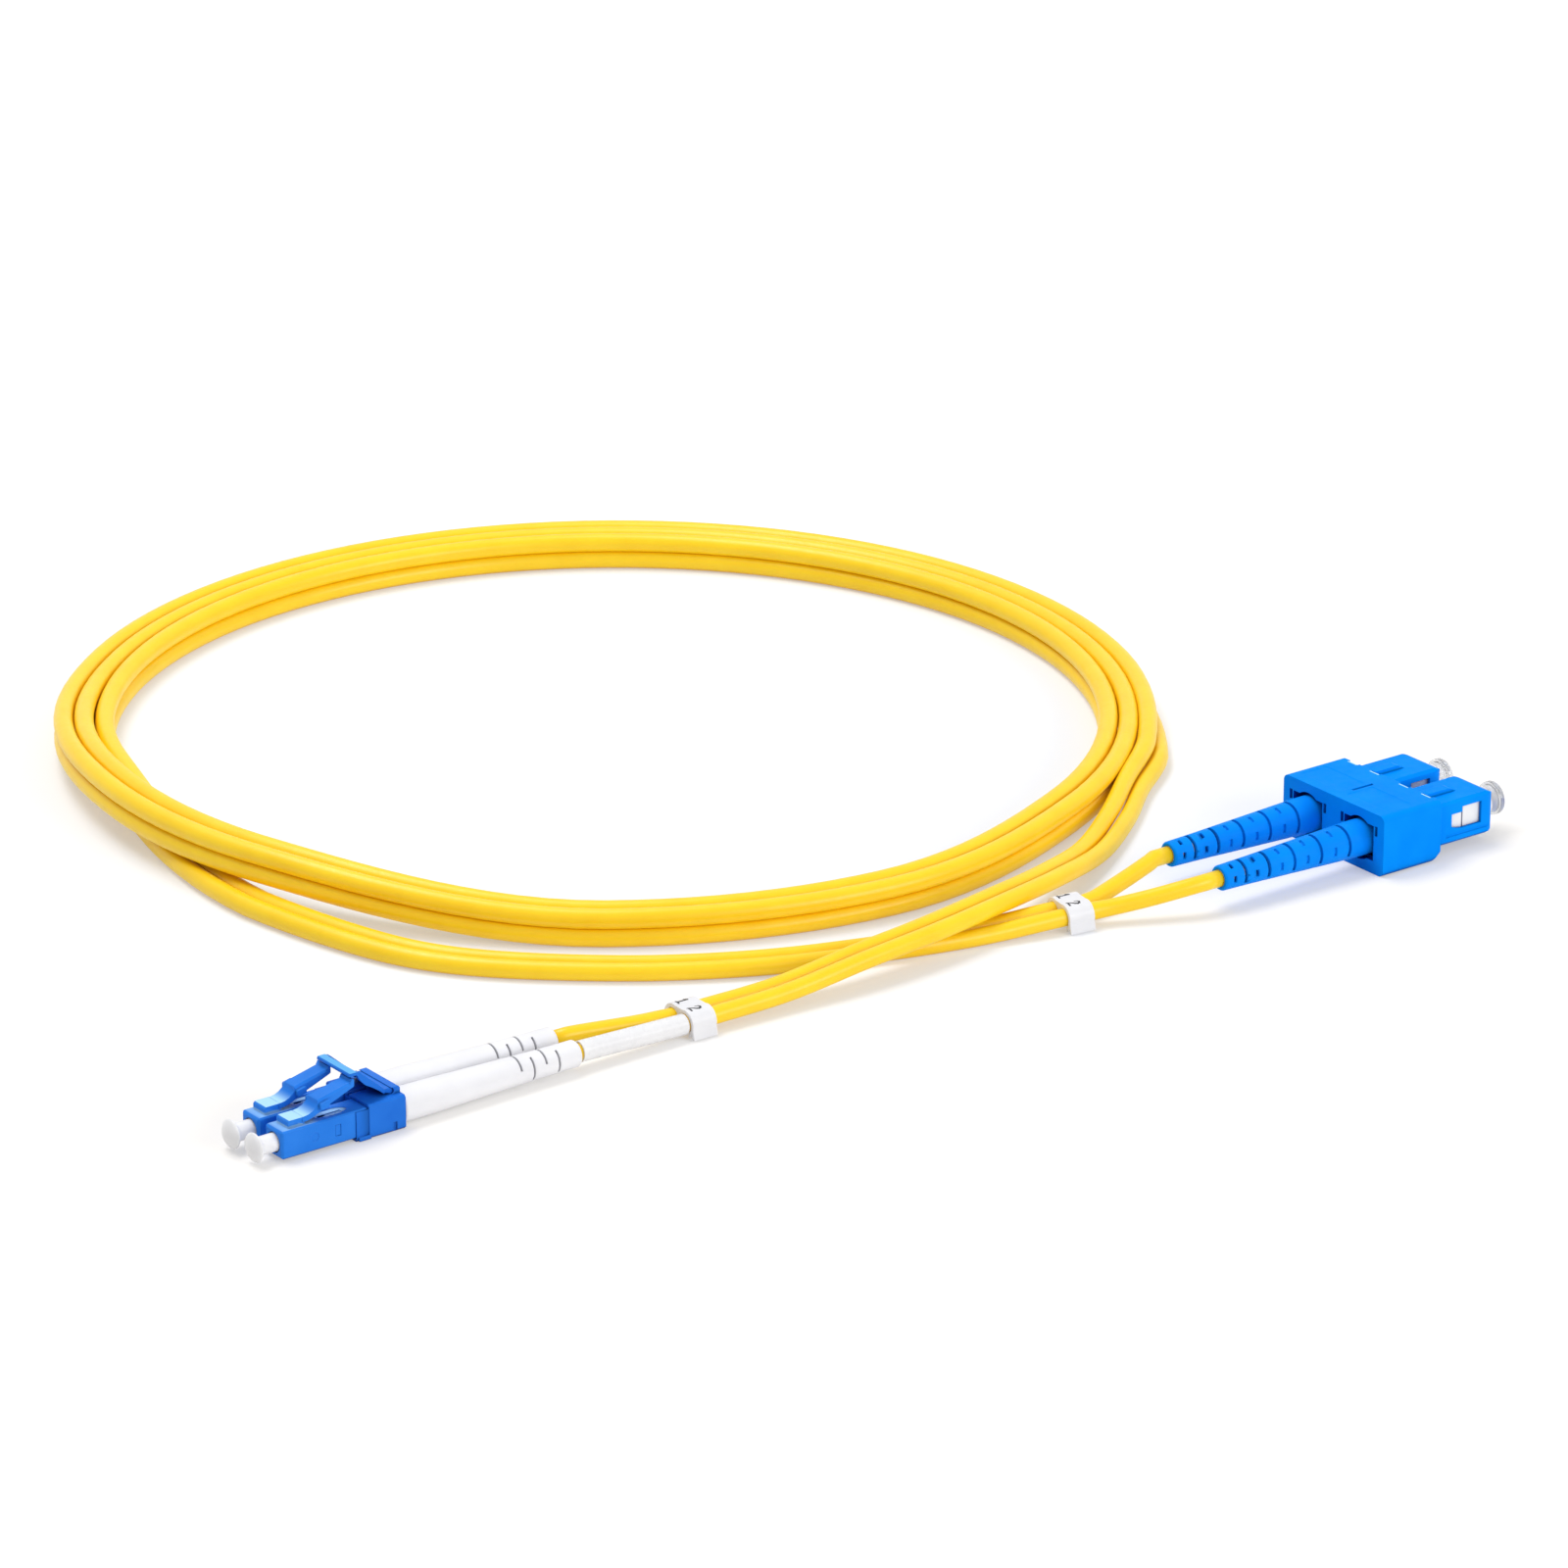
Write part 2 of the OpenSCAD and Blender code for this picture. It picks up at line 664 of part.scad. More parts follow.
// clip that carries both housings side by side
module lc_duplex_clip() {
    half_y = lc_clip_w / 2;
    half_z = lc_clip_h / 2;
    pocket = lc_half + seat_gap;
    color(blue)
        difference() {
            union() {
                beam(lc_block_x, lc_clip_end)
                    bevelled(half_y, half_z, 0.35);
                lc_clip_skirts(half_y, half_z);
                plate(trigger_w)
                    polygon([
                        [trigger_hinge[0], half_z - 0.3], [lc_clip_end, half_z - 0.3],
                        [lc_clip_end, half_z + 0.7], [lc_clip_end - 0.3, half_z + 1.05],
                        [trigger_hinge[0], half_z + 1.05]
                    ]);
            }
            for (side = [-1, 1])
                translate([0, side * lc_pitch / 2, 0]) {
                    box([lc_nose_l - 1, -pocket, -pocket], [lc_housing_l + 0.1, pocket, pocket]);
                    rod(lc_nose_l, lc_clip_end + 1, lc_boot_neck_r + slide_gap);
                }
            lc_clip_cuts(half_y, half_z);
        }
}

// low side skirts and floor that reach forward along the housings
module lc_clip_skirts(half_y, half_z) {
    wall = 0.2;
    for (side = [0, 1])
        mirror([0, side, 0])
            box([lc_nose_l, lc_pitch / 2 + lc_half - 0.2, -half_z + 0.3],
                [lc_block_x + 0.5, lc_pitch / 2 + lc_half + wall, lc_half - 0.15]);
    box([lc_nose_l, -half_y + 0.4, -half_z], [lc_block_x + 0.5, half_y - 0.4, -lc_half + 0.2]);
    for (side = [-1, 1])
        translate([0, side * (half_y - 0.2), 0])
            box([lc_nose_l + 0.3, -0.35, -half_z + 0.1], [lc_nose_l + 2.4, 0.35, -half_z + 0.75]);
}

// hinge groove, side notches and the slot under the trigger
module lc_clip_cuts(half_y, half_z) {
    translate([trigger_hinge[0], 0, trigger_hinge[1]])
        rotate([90, 0, 0])
            cylinder(h = lc_clip_w + 2, r = hinge_r + slide_gap, center = true);
    for (side = [-1, 1])
        translate([0, side * half_y, 0])
            box([lc_clip_end - 2.3, -0.3, -half_z - 1], [lc_clip_end - 1.6, 0.3, -half_z + 1.6]);
    box([lc_block_x - 1, -0.45, half_z - 0.5], [trigger_hinge[0] - 1.4, 0.45, half_z + 1]);
}

// plate hinged at the clip's back, whose bar presses both latches at once
module lc_trigger() {
    root = trigger_hinge;
    top = trigger_top;
    front = trigger_front;
    back = front + trigger_bar_l;
    color(blue) {
        plate(trigger_w - 0.5)
            polygon([
                [root[0], root[1] + hinge_r], [root[0] - 1.3, root[1] + 0.5], [back + 0.35, top - 0.25],
                [back, top - 0.1], [back, top - trigger_t], [back + 0.5, top - 1.15],
                [root[0] - 2, root[1] + 0.6], [root[0] - 1, root[1] - 0.1], [root[0], root[1] - hinge_r]
            ]);
        plate(trigger_w)
            polygon([
                [front, top - trigger_t], [front, top - 0.2], [front + 0.2, top], [back, top],
                [back + 0.35, top - 0.25], [back + 0.25, top - trigger_t - 0.3], [back - 0.1, top - trigger_t]
            ]);
        translate([root[0], 0, root[1]])
            rotate([90, 0, 0])
                cylinder(h = trigger_w - 0.5, r = hinge_r, center = true);
        for (side = [-1, 1])
            translate([0, side * (trigger_w / 2 - 0.45), 0])
                trigger_rib(back, top);
    }
}

// side wall of the trigger, deep at the bar and thinner towards the hinge
module trigger_rib(back, top) {
    root = trigger_hinge;
    plate(0.7)
        polygon([
            [root[0] - 0.9, root[1] + 0.2], [root[0] - 1.35, root[1] + 0.8], [back + 0.5, top - 0.15],
            [back, top - 0.05], [back, top - trigger_t], [back + 0.65, top - 1.6], [back + 1.6, top - 2.6],
            [back + 2.8, top - 3.3], [root[0] - 2, root[1] + 0.5], [root[0] - 1.2, root[1] - 0.2]
        ]);
}

// ---------------------------------------------------------------- SC plug

module at_sc(side) {
    translate([sc_nose_x, sc_row_y + side * sc_pitch / 2, sc_axis_z])
        children();
}

module at_sc_row() {
    translate([sc_nose_x, sc_row_y, sc_axis_z])
        children();
}

// sliding outer housing with key, side windows and guide rails
module sc_shell() {
    color(bright_blue)
        difference() {
            union() {
                beam(-sc_shell_l, 0)
                    bevelled(sc_half, sc_top, sc_bevel);
                sc_key();
            }
            sc_nose_cuts();
            box([-sc_shell_l - 1, -sc_cavity_y, -sc_cavity_z], [1, sc_cavity_y, sc_cavity_z]);
            box([-sc_shell_l - 1, -sc_cavity_y, -sc_rear_cavity_z],
                [sc_rear_x, sc_cavity_y, sc_rear_cavity_z]);
            sc_window();
            for (side = [-1, 1])
                translate([0, side * sc_half, 0])
                    box([-sc_nose_l + 2.6, -0.22, -2.45], [-0.6, 0.22, -1.95]);
        }
}

// key rib with a sloped front
module sc_key() {
    plate(sc_key_w)
        polygon([
            [sc_key_rear, sc_top - 0.3], [sc_key_front, sc_top - 0.3], [sc_key_front, sc_top],
            [sc_key_front - 1.2, sc_top + sc_key_h - 0.1], [sc_key_front - 1.6, sc_top + sc_key_h],
            [sc_key_rear, sc_top + sc_key_h]
        ]);
}

// sloped top, bottom and sides of the nose
module sc_nose_cuts() {
    reach = 3;
    for (s = [-1, 1]) {
        translate([0, 0, s * (sc_top + reach / 2 - 0.35)])
            rotate([0, s * 22, 0])
                cube([3.6, sc_w * 2, reach], center = true);
        translate([0, s * (sc_half + reach / 2 - 0.35), 0])
            rotate([0, 0, -s * 22])
                cube([3.6, reach, sc_h * 2], center = true);
    }
}

// stepped opening through both side walls
module sc_window() {
    front = sc_window_front;
    rear = sc_window_front - sc_window_l;
    step = front - 4.1;
    plate(sc_w * 2)
        polygon([
            [front, -1.35], [front, 2.35], [step, 2.35], [step, 1.45], [rear, 1.45], [rear, -0.75],
            [rear + 0.9, -1.1], [step, -1.35]
        ]);
}

// white frame that holds ferrule, spring and stop body, and latches into an adapter
module sc_plug_frame() {
    color(white)
        difference() {
            beam(sc_frame_end, sc_frame_front)
                bevelled(sc_frame_y, sc_frame_z, 0.4);
            rod(sc_lip_x, 1, sc_bore_r);
            rod(sc_frame_end - 1, 0, sc_lip_r);
            rod(sc_frame_end - 1, sc_cavity_x, sc_bore_r);
            sc_frame_ledges();
        }
}

// stepped side ledges behind the adapter's hooks
module sc_frame_ledges() {
    for (side = [-1, 1])
        translate([0, side * sc_frame_y, 0]) {
            box([-6.3, -0.35, -sc_frame_z - 1], [-6.05, 0.35, sc_frame_z + 1]);
            box([-10.9, -0.3, 1.5], [-6.6, 0.3, sc_frame_z + 1]);
        }
}

module sc_ferrule() {
    color(ceramic)
        turned([
            [sc_ferrule_end, 0], [sc_ferrule_end, sc_ferrule_d / 2], [sc_ferrule_out - 0.3, sc_ferrule_d / 2],
            [sc_ferrule_out, sc_ferrule_d / 2 - 0.5], [sc_ferrule_out, 0]
        ]);
}

module sc_flange() {
    collar_x = sc_cavity_x - 0.05;
    color(metal)
        difference() {
            union() {
                rod(collar_x - sc_collar_l, collar_x, sc_collar_r);
                rod(sc_tube_end, collar_x, sc_tube_r);
            }
            rod(sc_ferrule_end, collar_x + 1, sc_ferrule_d / 2);
            rod(sc_tube_end - 1, sc_ferrule_end + 0.5, buffer_d / 2 + slide_gap);
            for (side = [-1, 1])
                translate([0, side * sc_collar_r, 0])
                    box([collar_x - 1.4, -0.4, -0.35], [collar_x + 1, 0.4, 0.35]);
        }
}

module sc_spring() {
    color(metal)
        spring(sc_stop_x + 0.05, sc_cavity_x - 0.1 - sc_collar_l, sc_tube_r + 0.35, sc_spring_wire,
            sc_spring_turns);
}

module sc_stop_body() {
    push_room = sc_tube_end - sc_push - 0.4;
    color(metal)
        difference() {
            union() {
                rod(sc_frame_end + 0.1, sc_stop_x, sc_bore_r - seat_gap);
                rod(sc_stop_end, sc_stop_x, sc_barrel_r);
            }
            rod(push_room, sc_stop_x + 1, sc_tube_r + slide_gap);
            rod(sc_stop_end - 1, sc_stop_x, buffer_d / 2 + 0.25);
            for (x = [sc_stop_end + 0.6:0.9:sc_frame_end - 2.6])
                arc_slot(x, 0.35, sc_barrel_r - 0.12, sc_barrel_r + 1, 360, 0);
        }
}

module sc_crimp_sleeve() {
    wide = sc_barrel_r + seat_gap;
    narrow = jacket_r + seat_gap;
    shoulder = sc_stop_end - 0.3;
    front = sc_frame_end - 2;
    color(metal)
        turned([
            [front, wide], [front, wide + sc_crimp_wall], [shoulder - 0.2, wide + sc_crimp_wall],
            [shoulder - 0.8, narrow + 0.35], [sc_crimp_end, narrow + 0.35], [sc_crimp_end, narrow],
            [shoulder - 0.2, narrow], [shoulder, wide]
        ]);
}

module sc_buffer() {
    color(white)
        rod(sc_boot_tip + 1, sc_ferrule_end - sc_push - 0.4, buffer_d / 2);
}

// ribbed boot: long flex slots take turns with short ones, closer and through the wall at the tip
module sc_boot() {
    root_r = sc_boot_d / 2;
    tip_r = sc_boot_tip_d / 2;
    room = sc_barrel_r + sc_crimp_wall + 2 * seat_gap;
    slots = 10;
    slot_w = 0.6;
    first = 4.3;
    span = sc_boot_l - first - 1.8;
    long_arcs = [[142, 52], [142, 232]];
    short_arcs = [[32, 20], [32, 90], [32, 200], [32, 270]];
    color(bright_blue)
        difference() {
            turned([
                [sc_boot_x, boot_bore_r], [sc_boot_x, root_r], [sc_clip_rear - 2, root_r],
                [sc_boot_tip + 6, tip_r + 0.15], [sc_boot_tip + 0.3, tip_r], [sc_boot_tip, tip_r - 0.25],
                [sc_boot_tip, boot_bore_r]
            ]);
            rod(sc_crimp_end - 0.4, sc_boot_x + 1, room);
            for (i = [0:slots - 1])
                let (share = i / (slots - 1),
                     x = sc_clip_rear - first - span * share * (1.16 - 0.16 * share),
                     skin_r = root_r - (root_r - tip_r) * share,
                     floor_r = share > 0.6 ? jacket_r - 0.2 : skin_r - 0.45)
                for (part = i % 2 == 0 ? long_arcs : short_arcs)
                    arc_slot(x - slot_w / 2, slot_w, floor_r, root_r + 1, part[0], part[1]);
        }
}

// clear capped tube over the ferrule
module sc_dust_cap() {
    head_r = sc_cap_head_d / 2;
    stem_r = sc_cap_d / 2;
    hole_r = sc_ferrule_d / 2 + slide_gap;
    hole_end = sc_ferrule_out + 0.9;
    color(clear)
        turned([
            [sc_lip_x + 0.5, stem_r], [3.2, stem_r], [3.35, head_r], [4.2, head_r], [4.3, head_r - 0.15],
            [4.3, 0], [hole_end + 0.4, 0], [hole_end, hole_r], [sc_lip_x + 0.5, hole_r]
        ]);
}

// clip shell round both outer housings
module sc_duplex_clip() {
    half_y = sc_clip_w / 2;
    half_z = sc_clip_h / 2;
    lobe_r = sc_boot_d / 2 + 0.6;
    chin = 2.4;
    color(bright_blue)
        difference() {
            beam(sc_clip_rear, sc_clip_front)
                rounded(half_y, half_z, 1.1);
            for (side = [-1, 1])
                translate([0, side * sc_pitch / 2, 0]) {
                    box([sc_clip_rear + sc_clip_wall, -sc_half - seat_gap, -sc_top - seat_gap],
                        [sc_clip_front + 1, sc_half + seat_gap, sc_top + seat_gap]);
                    box([sc_clip_rear - 1, -sc_opening_y, -sc_opening_z],
                        [sc_clip_front, sc_opening_y, sc_opening_z]);
                    rod(sc_clip_rear - 1, sc_clip_front, lobe_r);
                }
            translate([sc_clip_front, 0, -half_z])
                rotate([0, 45, 0])
                    cube([chin, 2 * sc_clip_w, chin], center = true);
            sc_clip_top(half_y, half_z);
        }
}

// shallow label panel, snap slot, gaps at the front lip and slots beside the rear openings
module sc_clip_top(half_y, half_z) {
    middle = (sc_clip_rear + sc_clip_front) / 2;
    for (side = [0, 1])
        mirror([0, side, 0])
            box([middle - 4, 0.9, half_z - 0.05], [middle + 1.3, half_y - 1.8, half_z + 1]);
    box([middle - 2.2, -0.28, half_z - 0.7], [middle + 2.2, 0.28, half_z + 1]);
    for (side = [-1, 1], edge = [-1, 1]) {
        translate([0, side * sc_pitch / 2 + edge * (sc_half - 1.75), 0])
            box([sc_clip_front - 0.4, -1.15, sc_top - 0.1], [sc_clip_front + 1, 1.15, half_z + 1]);
        translate([0, side * sc_pitch / 2 + edge * (sc_opening_y + 0.6), 0])
            box([sc_clip_rear - 1, -0.33, 1.4], [sc_clip_rear + 1.1, 0.33, 3.1]);
    }
}

// ---------------------------------------------------------------- pieces on the cord

// frame half way along a straight stretch of the route
module half_way(p, q) {
    run = q - p;
    translate([p[0] + q[0], p[1] + q[1], p[2] + q[2]] / 2)
        rotate([0, -atan2(run[2], norm([run[0], run[1]])), atan2(run[1], run[0])])
            children();
}

// two open snap rings side by side, with flared lips below
module marker_clip() {
    leg = clip_leg_half;
    inner_r = jacket_r + marker_gap;
    outer_r = inner_r + marker_wall;
    mouth = 0.9;
    color(white)
        beam(-marker_l / 2, marker_l / 2)
            difference() {
                union() {
                    translate([-leg, 0])
                        square([2 * leg, outer_r - 0.1]);
                    for (side = [0, 1])
                        mirror([side, 0])
                            translate([-leg, 0]) {
                                circle(r = outer_r);
                                polygon([
                                    [0.65 - outer_r, -0.6], [0.1 - outer_r, -0.4],
                                    [-0.3 - outer_r, 0.2 - outer_r], [0.4 - outer_r, 0.2 - outer_r]
                                ]);
                            }
                }
                for (side = [-1, 1])
                    translate([side * leg, 0])
                        circle(r = inner_r);
                translate([-leg - mouth, -2 * outer_r])
                    square([2 * (leg + mouth), 2 * outer_r - mouth]);
            }
}

// thin sleeve for a printed label on the near LC leg, from the boot to the marker clip
module lc_label_sleeve() {
    inner_r = jacket_r + sleeve_gap;
    half = norm(legs[1][3] - legs[1][1]) / 2;
    clip_gap = 0.2;
    front = half + (norm(lc_route[1] - lc_route[0]) - marker_l) / 2 - clip_gap;
    color(white)
        half_way(legs[1][1], legs[1][3])
            difference() {
                rod(front - sleeve_l, front, inner_r + sleeve_wall);
                rod(-sleeve_l, sleeve_l, inner_r);
            }
}

// ---------------------------------------------------------------- nodes

at_lc(1) lc_housing();  // lc_housing_a
at_lc(-1) lc_housing();  // lc_housing_b
at_lc(1) lc_latch();  // lc_latch_a
at_lc(-1) lc_latch();  // lc_latch_b
at_lc_row() lc_duplex_clip();
at_lc_row() lc_trigger();
at_lc(1) lc_ferrule();  // lc_ferrule_a
at_lc(-1) lc_ferrule();  // lc_ferrule_b
at_lc(1) lc_flange();  // lc_flange_a
at_lc(-1) lc_flange();  // lc_flange_b
at_lc(1) lc_spring();  // lc_spring_a
at_lc(-1) lc_spring();  // lc_spring_b
at_lc(1) lc_stop_body();  // lc_stop_body_a
at_lc(-1) lc_stop_body();  // lc_stop_body_b
at_lc(1) lc_crimp_sleeve();  // lc_crimp_sleeve_a
at_lc(-1) lc_crimp_sleeve();  // lc_crimp_sleeve_b
at_lc(1) lc_buffer();  // lc_buffer_a
at_lc(-1) lc_buffer();  // lc_buffer_b
at_lc(1) jacket(lc_jacket_x, lc_boot_tip, lc_boot_tip - 0.8);  // lc_jacket_a
at_lc(-1) jacket(lc_jacket_x, lc_boot_tip, lc_boot_tip - 0.8);  // lc_jacket_b
at_lc(1) lc_boot();  // lc_boot_a
at_lc(-1) lc_boot();  // lc_boot_b
at_lc(1) lc_dust_cap();  // lc_dust_cap_a
at_lc(-1) lc_dust_cap();  // lc_dust_cap_b
at_sc(1) sc_shell();  // sc_shell_a
at_sc(-1) sc_shell();  // sc_shell_b
at_sc_row() sc_duplex_clip();
at_sc(1) sc_plug_frame();  // sc_plug_frame_a
at_sc(-1) sc_plug_frame();  // sc_plug_frame_b
at_sc(1) sc_ferrule();  // sc_ferrule_a
at_sc(-1) sc_ferrule();  // sc_ferrule_b
at_sc(1) sc_flange();  // sc_flange_a
at_sc(-1) sc_flange();  // sc_flange_b
at_sc(1) sc_spring();  // sc_spring_a
at_sc(-1) sc_spring();  // sc_spring_b
at_sc(1) sc_stop_body();  // sc_stop_body_a
at_sc(-1) sc_stop_body();  // sc_stop_body_b
at_sc(1) sc_crimp_sleeve();  // sc_crimp_sleeve_a
at_sc(-1) sc_crimp_sleeve();  // sc_crimp_sleeve_b
at_sc(1) sc_buffer();  // sc_buffer_a
at_sc(-1) sc_buffer();  // sc_buffer_b
at_sc(1) jacket(sc_boot_tip, sc_jacket_x, sc_jacket_x + 1);  // sc_jacket_a
at_sc(-1) jacket(sc_boot_tip, sc_jacket_x, sc_jacket_x + 1);  // sc_jacket_b
at_sc(1) sc_boot();  // sc_boot_a
at_sc(-1) sc_boot();  // sc_boot_b
at_sc(1) sc_dust_cap();  // sc_dust_cap_a
at_sc(-1) sc_dust_cap();  // sc_dust_cap_b
color(yellow) leg_tube(0, coil_first, coil_last, 6);  // coil_a
color(yellow) leg_tube(1, coil_first, coil_last, 6);  // coil_b
color(yellow) leg_tube(0, 0, coil_first, 8);  // lc_lead_a
color(yellow) leg_tube(1, 0, coil_first, 8);  // lc_lead_b
color(yellow) leg_tube(0, coil_last, len(whole_path) - 1, 8);  // sc_lead_a
color(yellow) leg_tube(1, coil_last, len(whole_path) - 1, 8);  // sc_lead_b
half_way(lc_route[0], lc_route[1]) marker_clip();  // lc_marker_clip
half_way(sc_route[6], sc_route[7]) marker_clip();  // sc_marker_clip
lc_label_sleeve();
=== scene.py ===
import json
import math

import bmesh
import bpy
from mathutils import Matrix, Vector

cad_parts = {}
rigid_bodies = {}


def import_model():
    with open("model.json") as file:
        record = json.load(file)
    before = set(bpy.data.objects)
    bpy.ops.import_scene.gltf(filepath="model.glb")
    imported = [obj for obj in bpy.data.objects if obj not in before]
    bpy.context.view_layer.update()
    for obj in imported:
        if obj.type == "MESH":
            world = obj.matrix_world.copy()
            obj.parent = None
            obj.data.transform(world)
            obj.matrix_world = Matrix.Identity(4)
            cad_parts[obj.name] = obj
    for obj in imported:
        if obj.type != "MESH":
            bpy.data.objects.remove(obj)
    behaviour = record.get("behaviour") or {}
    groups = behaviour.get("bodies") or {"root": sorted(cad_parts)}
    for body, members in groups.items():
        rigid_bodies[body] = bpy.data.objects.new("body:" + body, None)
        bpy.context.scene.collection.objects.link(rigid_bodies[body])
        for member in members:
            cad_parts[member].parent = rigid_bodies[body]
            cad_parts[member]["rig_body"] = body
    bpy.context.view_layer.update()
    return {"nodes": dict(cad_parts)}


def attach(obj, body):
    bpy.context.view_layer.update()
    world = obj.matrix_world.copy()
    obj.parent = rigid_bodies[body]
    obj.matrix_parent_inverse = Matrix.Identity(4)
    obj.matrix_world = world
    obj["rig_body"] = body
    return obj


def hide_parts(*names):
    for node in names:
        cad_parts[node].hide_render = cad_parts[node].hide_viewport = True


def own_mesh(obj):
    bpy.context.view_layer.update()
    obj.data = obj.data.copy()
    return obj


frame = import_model()

# ---------------------------------------------------------------- camera
# A long lens that stands well back and looks down over the front left corner, so that the
# cord's lines hardly draw together.

# in radians: turned from +y towards +x, and tilted down
turn = 0.645657
tilt = 0.375532
camera_place = (-0.693556, -0.891252, 0.478899)


def placed(name, data):
    """Puts a camera, a lamp or a mesh in the scene under its own name."""
    thing = bpy.data.objects.new(name, data)
    bpy.context.scene.collection.objects.link(thing)
    return thing


right = Vector((math.cos(turn), -math.sin(turn), 0))
forward = Vector((math.sin(turn) * math.cos(tilt), math.cos(turn) * math.cos(tilt),
                  -math.sin(tilt)))
up = right.cross(forward)
lens = bpy.data.cameras.new("camera")
lens.sensor_width = 36
lens.lens = 180
lens.clip_start = 0.05
lens.clip_end = 20
camera = placed("camera", lens)
camera.matrix_world = Matrix((right, up, -forward)).transposed().to_4x4()
camera.location = camera_place
bpy.context.scene.camera = camera

# ---------------------------------------------------------------- the cord
# Zip cord: two yellow jackets of soft low-smoke plastic, drawn over their fibres side by side and
# joined by a thin web.  It leaves the LC boots, winds two and a half turns on edge, and runs out
# below them along the floor to the SC boots.

jacket_r = 0.0014
leg_half = 0.00155
coil_centre = (0.0262, 0.1138)
coil_r = 0.0914
turn_pitch = 0.0034
floor_z = 0.00145
hump_rise = 0.00375
twist_room = 0.00014
swing_in = 0.0065
swing_out = 0.022

# a point of the route: x, y and z, twist in degrees, and half the leg spacing
lc_exit = (-0.0595, 0.0064, 0.00275, 0, 0.003125)
sc_exit = (0.0601, 0.0, 0.00525, 0, 0.00635)
straight = 0.003
lc_route = [
    (-0.040, 0.0049, 0.00225, 0, 0.00165), (-0.033, 0.0048, 0.00225, 0, 0.00165),
    (-0.019, 0.0042, 0.0027, 0, 0.00155), (-0.004, 0.004, 0.0044, 0, 0.00155),
    (0.011, 0.0052, 0.005, 0, 0.00155), (0.026, 0.008, 0.0051, 0, 0.00155),
    (0.041, 0.013, 0.004, 0, 0.00155), (0.056, 0.0208, 0.0021, 6, 0.00155),
    (0.069, 0.030, 0.002, 22, 0.00155), (0.080, 0.0392, 0.0025, 42, 0.00155),
]
sc_route = [
    (-0.055, 0.0495, 0.00145, 0, 0.00155), (-0.0435, 0.037, 0.00145, 0, 0.00155),
    (-0.029, 0.0256, 0.00145, 0, 0.00155), (-0.013, 0.0166, 0.00145, 0, 0.00155),
    (0.004, 0.0104, 0.00145, 0, 0.00155), (0.020, 0.0062, 0.00145, 0, 0.00155),
    (0.0335, 0.0032, 0.0022, 0, 0.00165), (0.0405, 0.002, 0.0024, 0, 0.0017),
    (0.049, 0.0009, 0.0037, 0, 0.0041),
]

# degrees round the coil, counted on from turn to turn
full_turn = 360
coil_start, coil_end = -45, 930
swings_in, swings_out = (-100, -26), (878, 954)
twists_up, twists_flat = (-74, -20), (864, 912)
moves_in = ((264, 294), (624, 654))
lies_inside_from = 600
rises, sinks = (128, 172), (196, 234)
degrees_per_ring = 3
steering = 10

# rings from one point of the route to the next
rings_between = 4
long_step = 0.009


def ease(u, a, b):
    """0 before a, 1 after b, and a smooth step between them."""
    t = max(0.0, min(1.0, (u - a) / (b - a)))
    return t * t * (3 - 2 * t)


def coil_twist(u):
    """Degrees that the pair is turned: 0 flat, 90 on edge."""
    return 90 * (ease(u, *twists_up) - ease(u, *twists_flat))


def coil_hump(u):
    """Rise of a turn where the pair passes below it on its way out."""
    return hump_rise * (ease(u, *rises) - ease(u, *sinks))


def coil_point(u):
    """Centre, height, twist and half leg spacing at u degrees round the coil."""
    twist = coil_twist(u)
    half = leg_half + twist_room * math.sin(math.radians(2 * twist))
    r = coil_r - turn_pitch * sum(ease(u, *span) for span in moves_in)
    r += swing_out * ease(u, *swings_out)
    r += swing_in * (1 - ease(u, *swings_in))
    if u > lies_inside_from:
        r -= leg_half * math.cos(math.radians(twist))
    z = floor_z + half * math.sin(math.radians(twist)) + coil_hump(u) + coil_hump(u - full_turn)
    a = math.radians(u)
    return (coil_centre[0] + r * math.cos(a), coil_centre[1] + r * math.sin(a), z, twist, half)


def eased_through(points):
    """Smooth curve through all but the first and last of the points."""
    out = []
    for i in range(1, len(points) - 2):
        a, b, c, d = points[i - 1:i + 3]
        steps = rings_between * (2 if math.dist(b[:3], c[:3]) > long_step else 1)
        for j in range(steps):
            t = j / steps
            out.append(tuple(
                0.5 * (2 * q + (r - p) * t + (2 * p - 5 * q + 4 * r - s) * t ** 2
                       + (3 * q - p - 3 * r + s) * t ** 3)
                for p, q, r, s in zip(a, b, c, d)))
    return out


def moved(point, x):
    return (point[0] + x,) + point[1:]


coil_route = [coil_point(u) for u in range(coil_start, coil_end + 1, degrees_per_ring)]
lc_run = [lc_exit] + eased_through(
    [lc_exit, moved(lc_exit, straight)] + lc_route
    + [coil_route[0], coil_point(coil_start + steering)])
sc_run = eased_through(
    [coil_point(coil_end - steering), coil_route[-1]] + sc_route
    + [moved(sc_exit, -straight), sc_exit])
sc_run += [moved(sc_exit, -straight), sc_exit]
route = lc_run + coil_route + sc_run[1:]
first_turn = len(lc_run)
last_turn = len(lc_run) + len(coil_route)
settled_from, settled_to = last_turn - 5, last_turn + 23
settling_rounds = 30
held_rings = 6


def settled(points, first, last, rounds):
    """The stiff pair eases its bend between two places where it is held."""
    for _ in range(rounds):
        eased = list(points)
        for i in range(first, last + 1):
            give = 0.5 * min(1, (i - first) / held_rings, (last - i) / held_rings)
            place = tuple(q + give * ((p + r) / 2 - q)
                          for p, q, r in zip(points[i - 1][:3], points[i], points[i + 1]))
            eased[i] = place + points[i][3:]
        points = eased
    return points


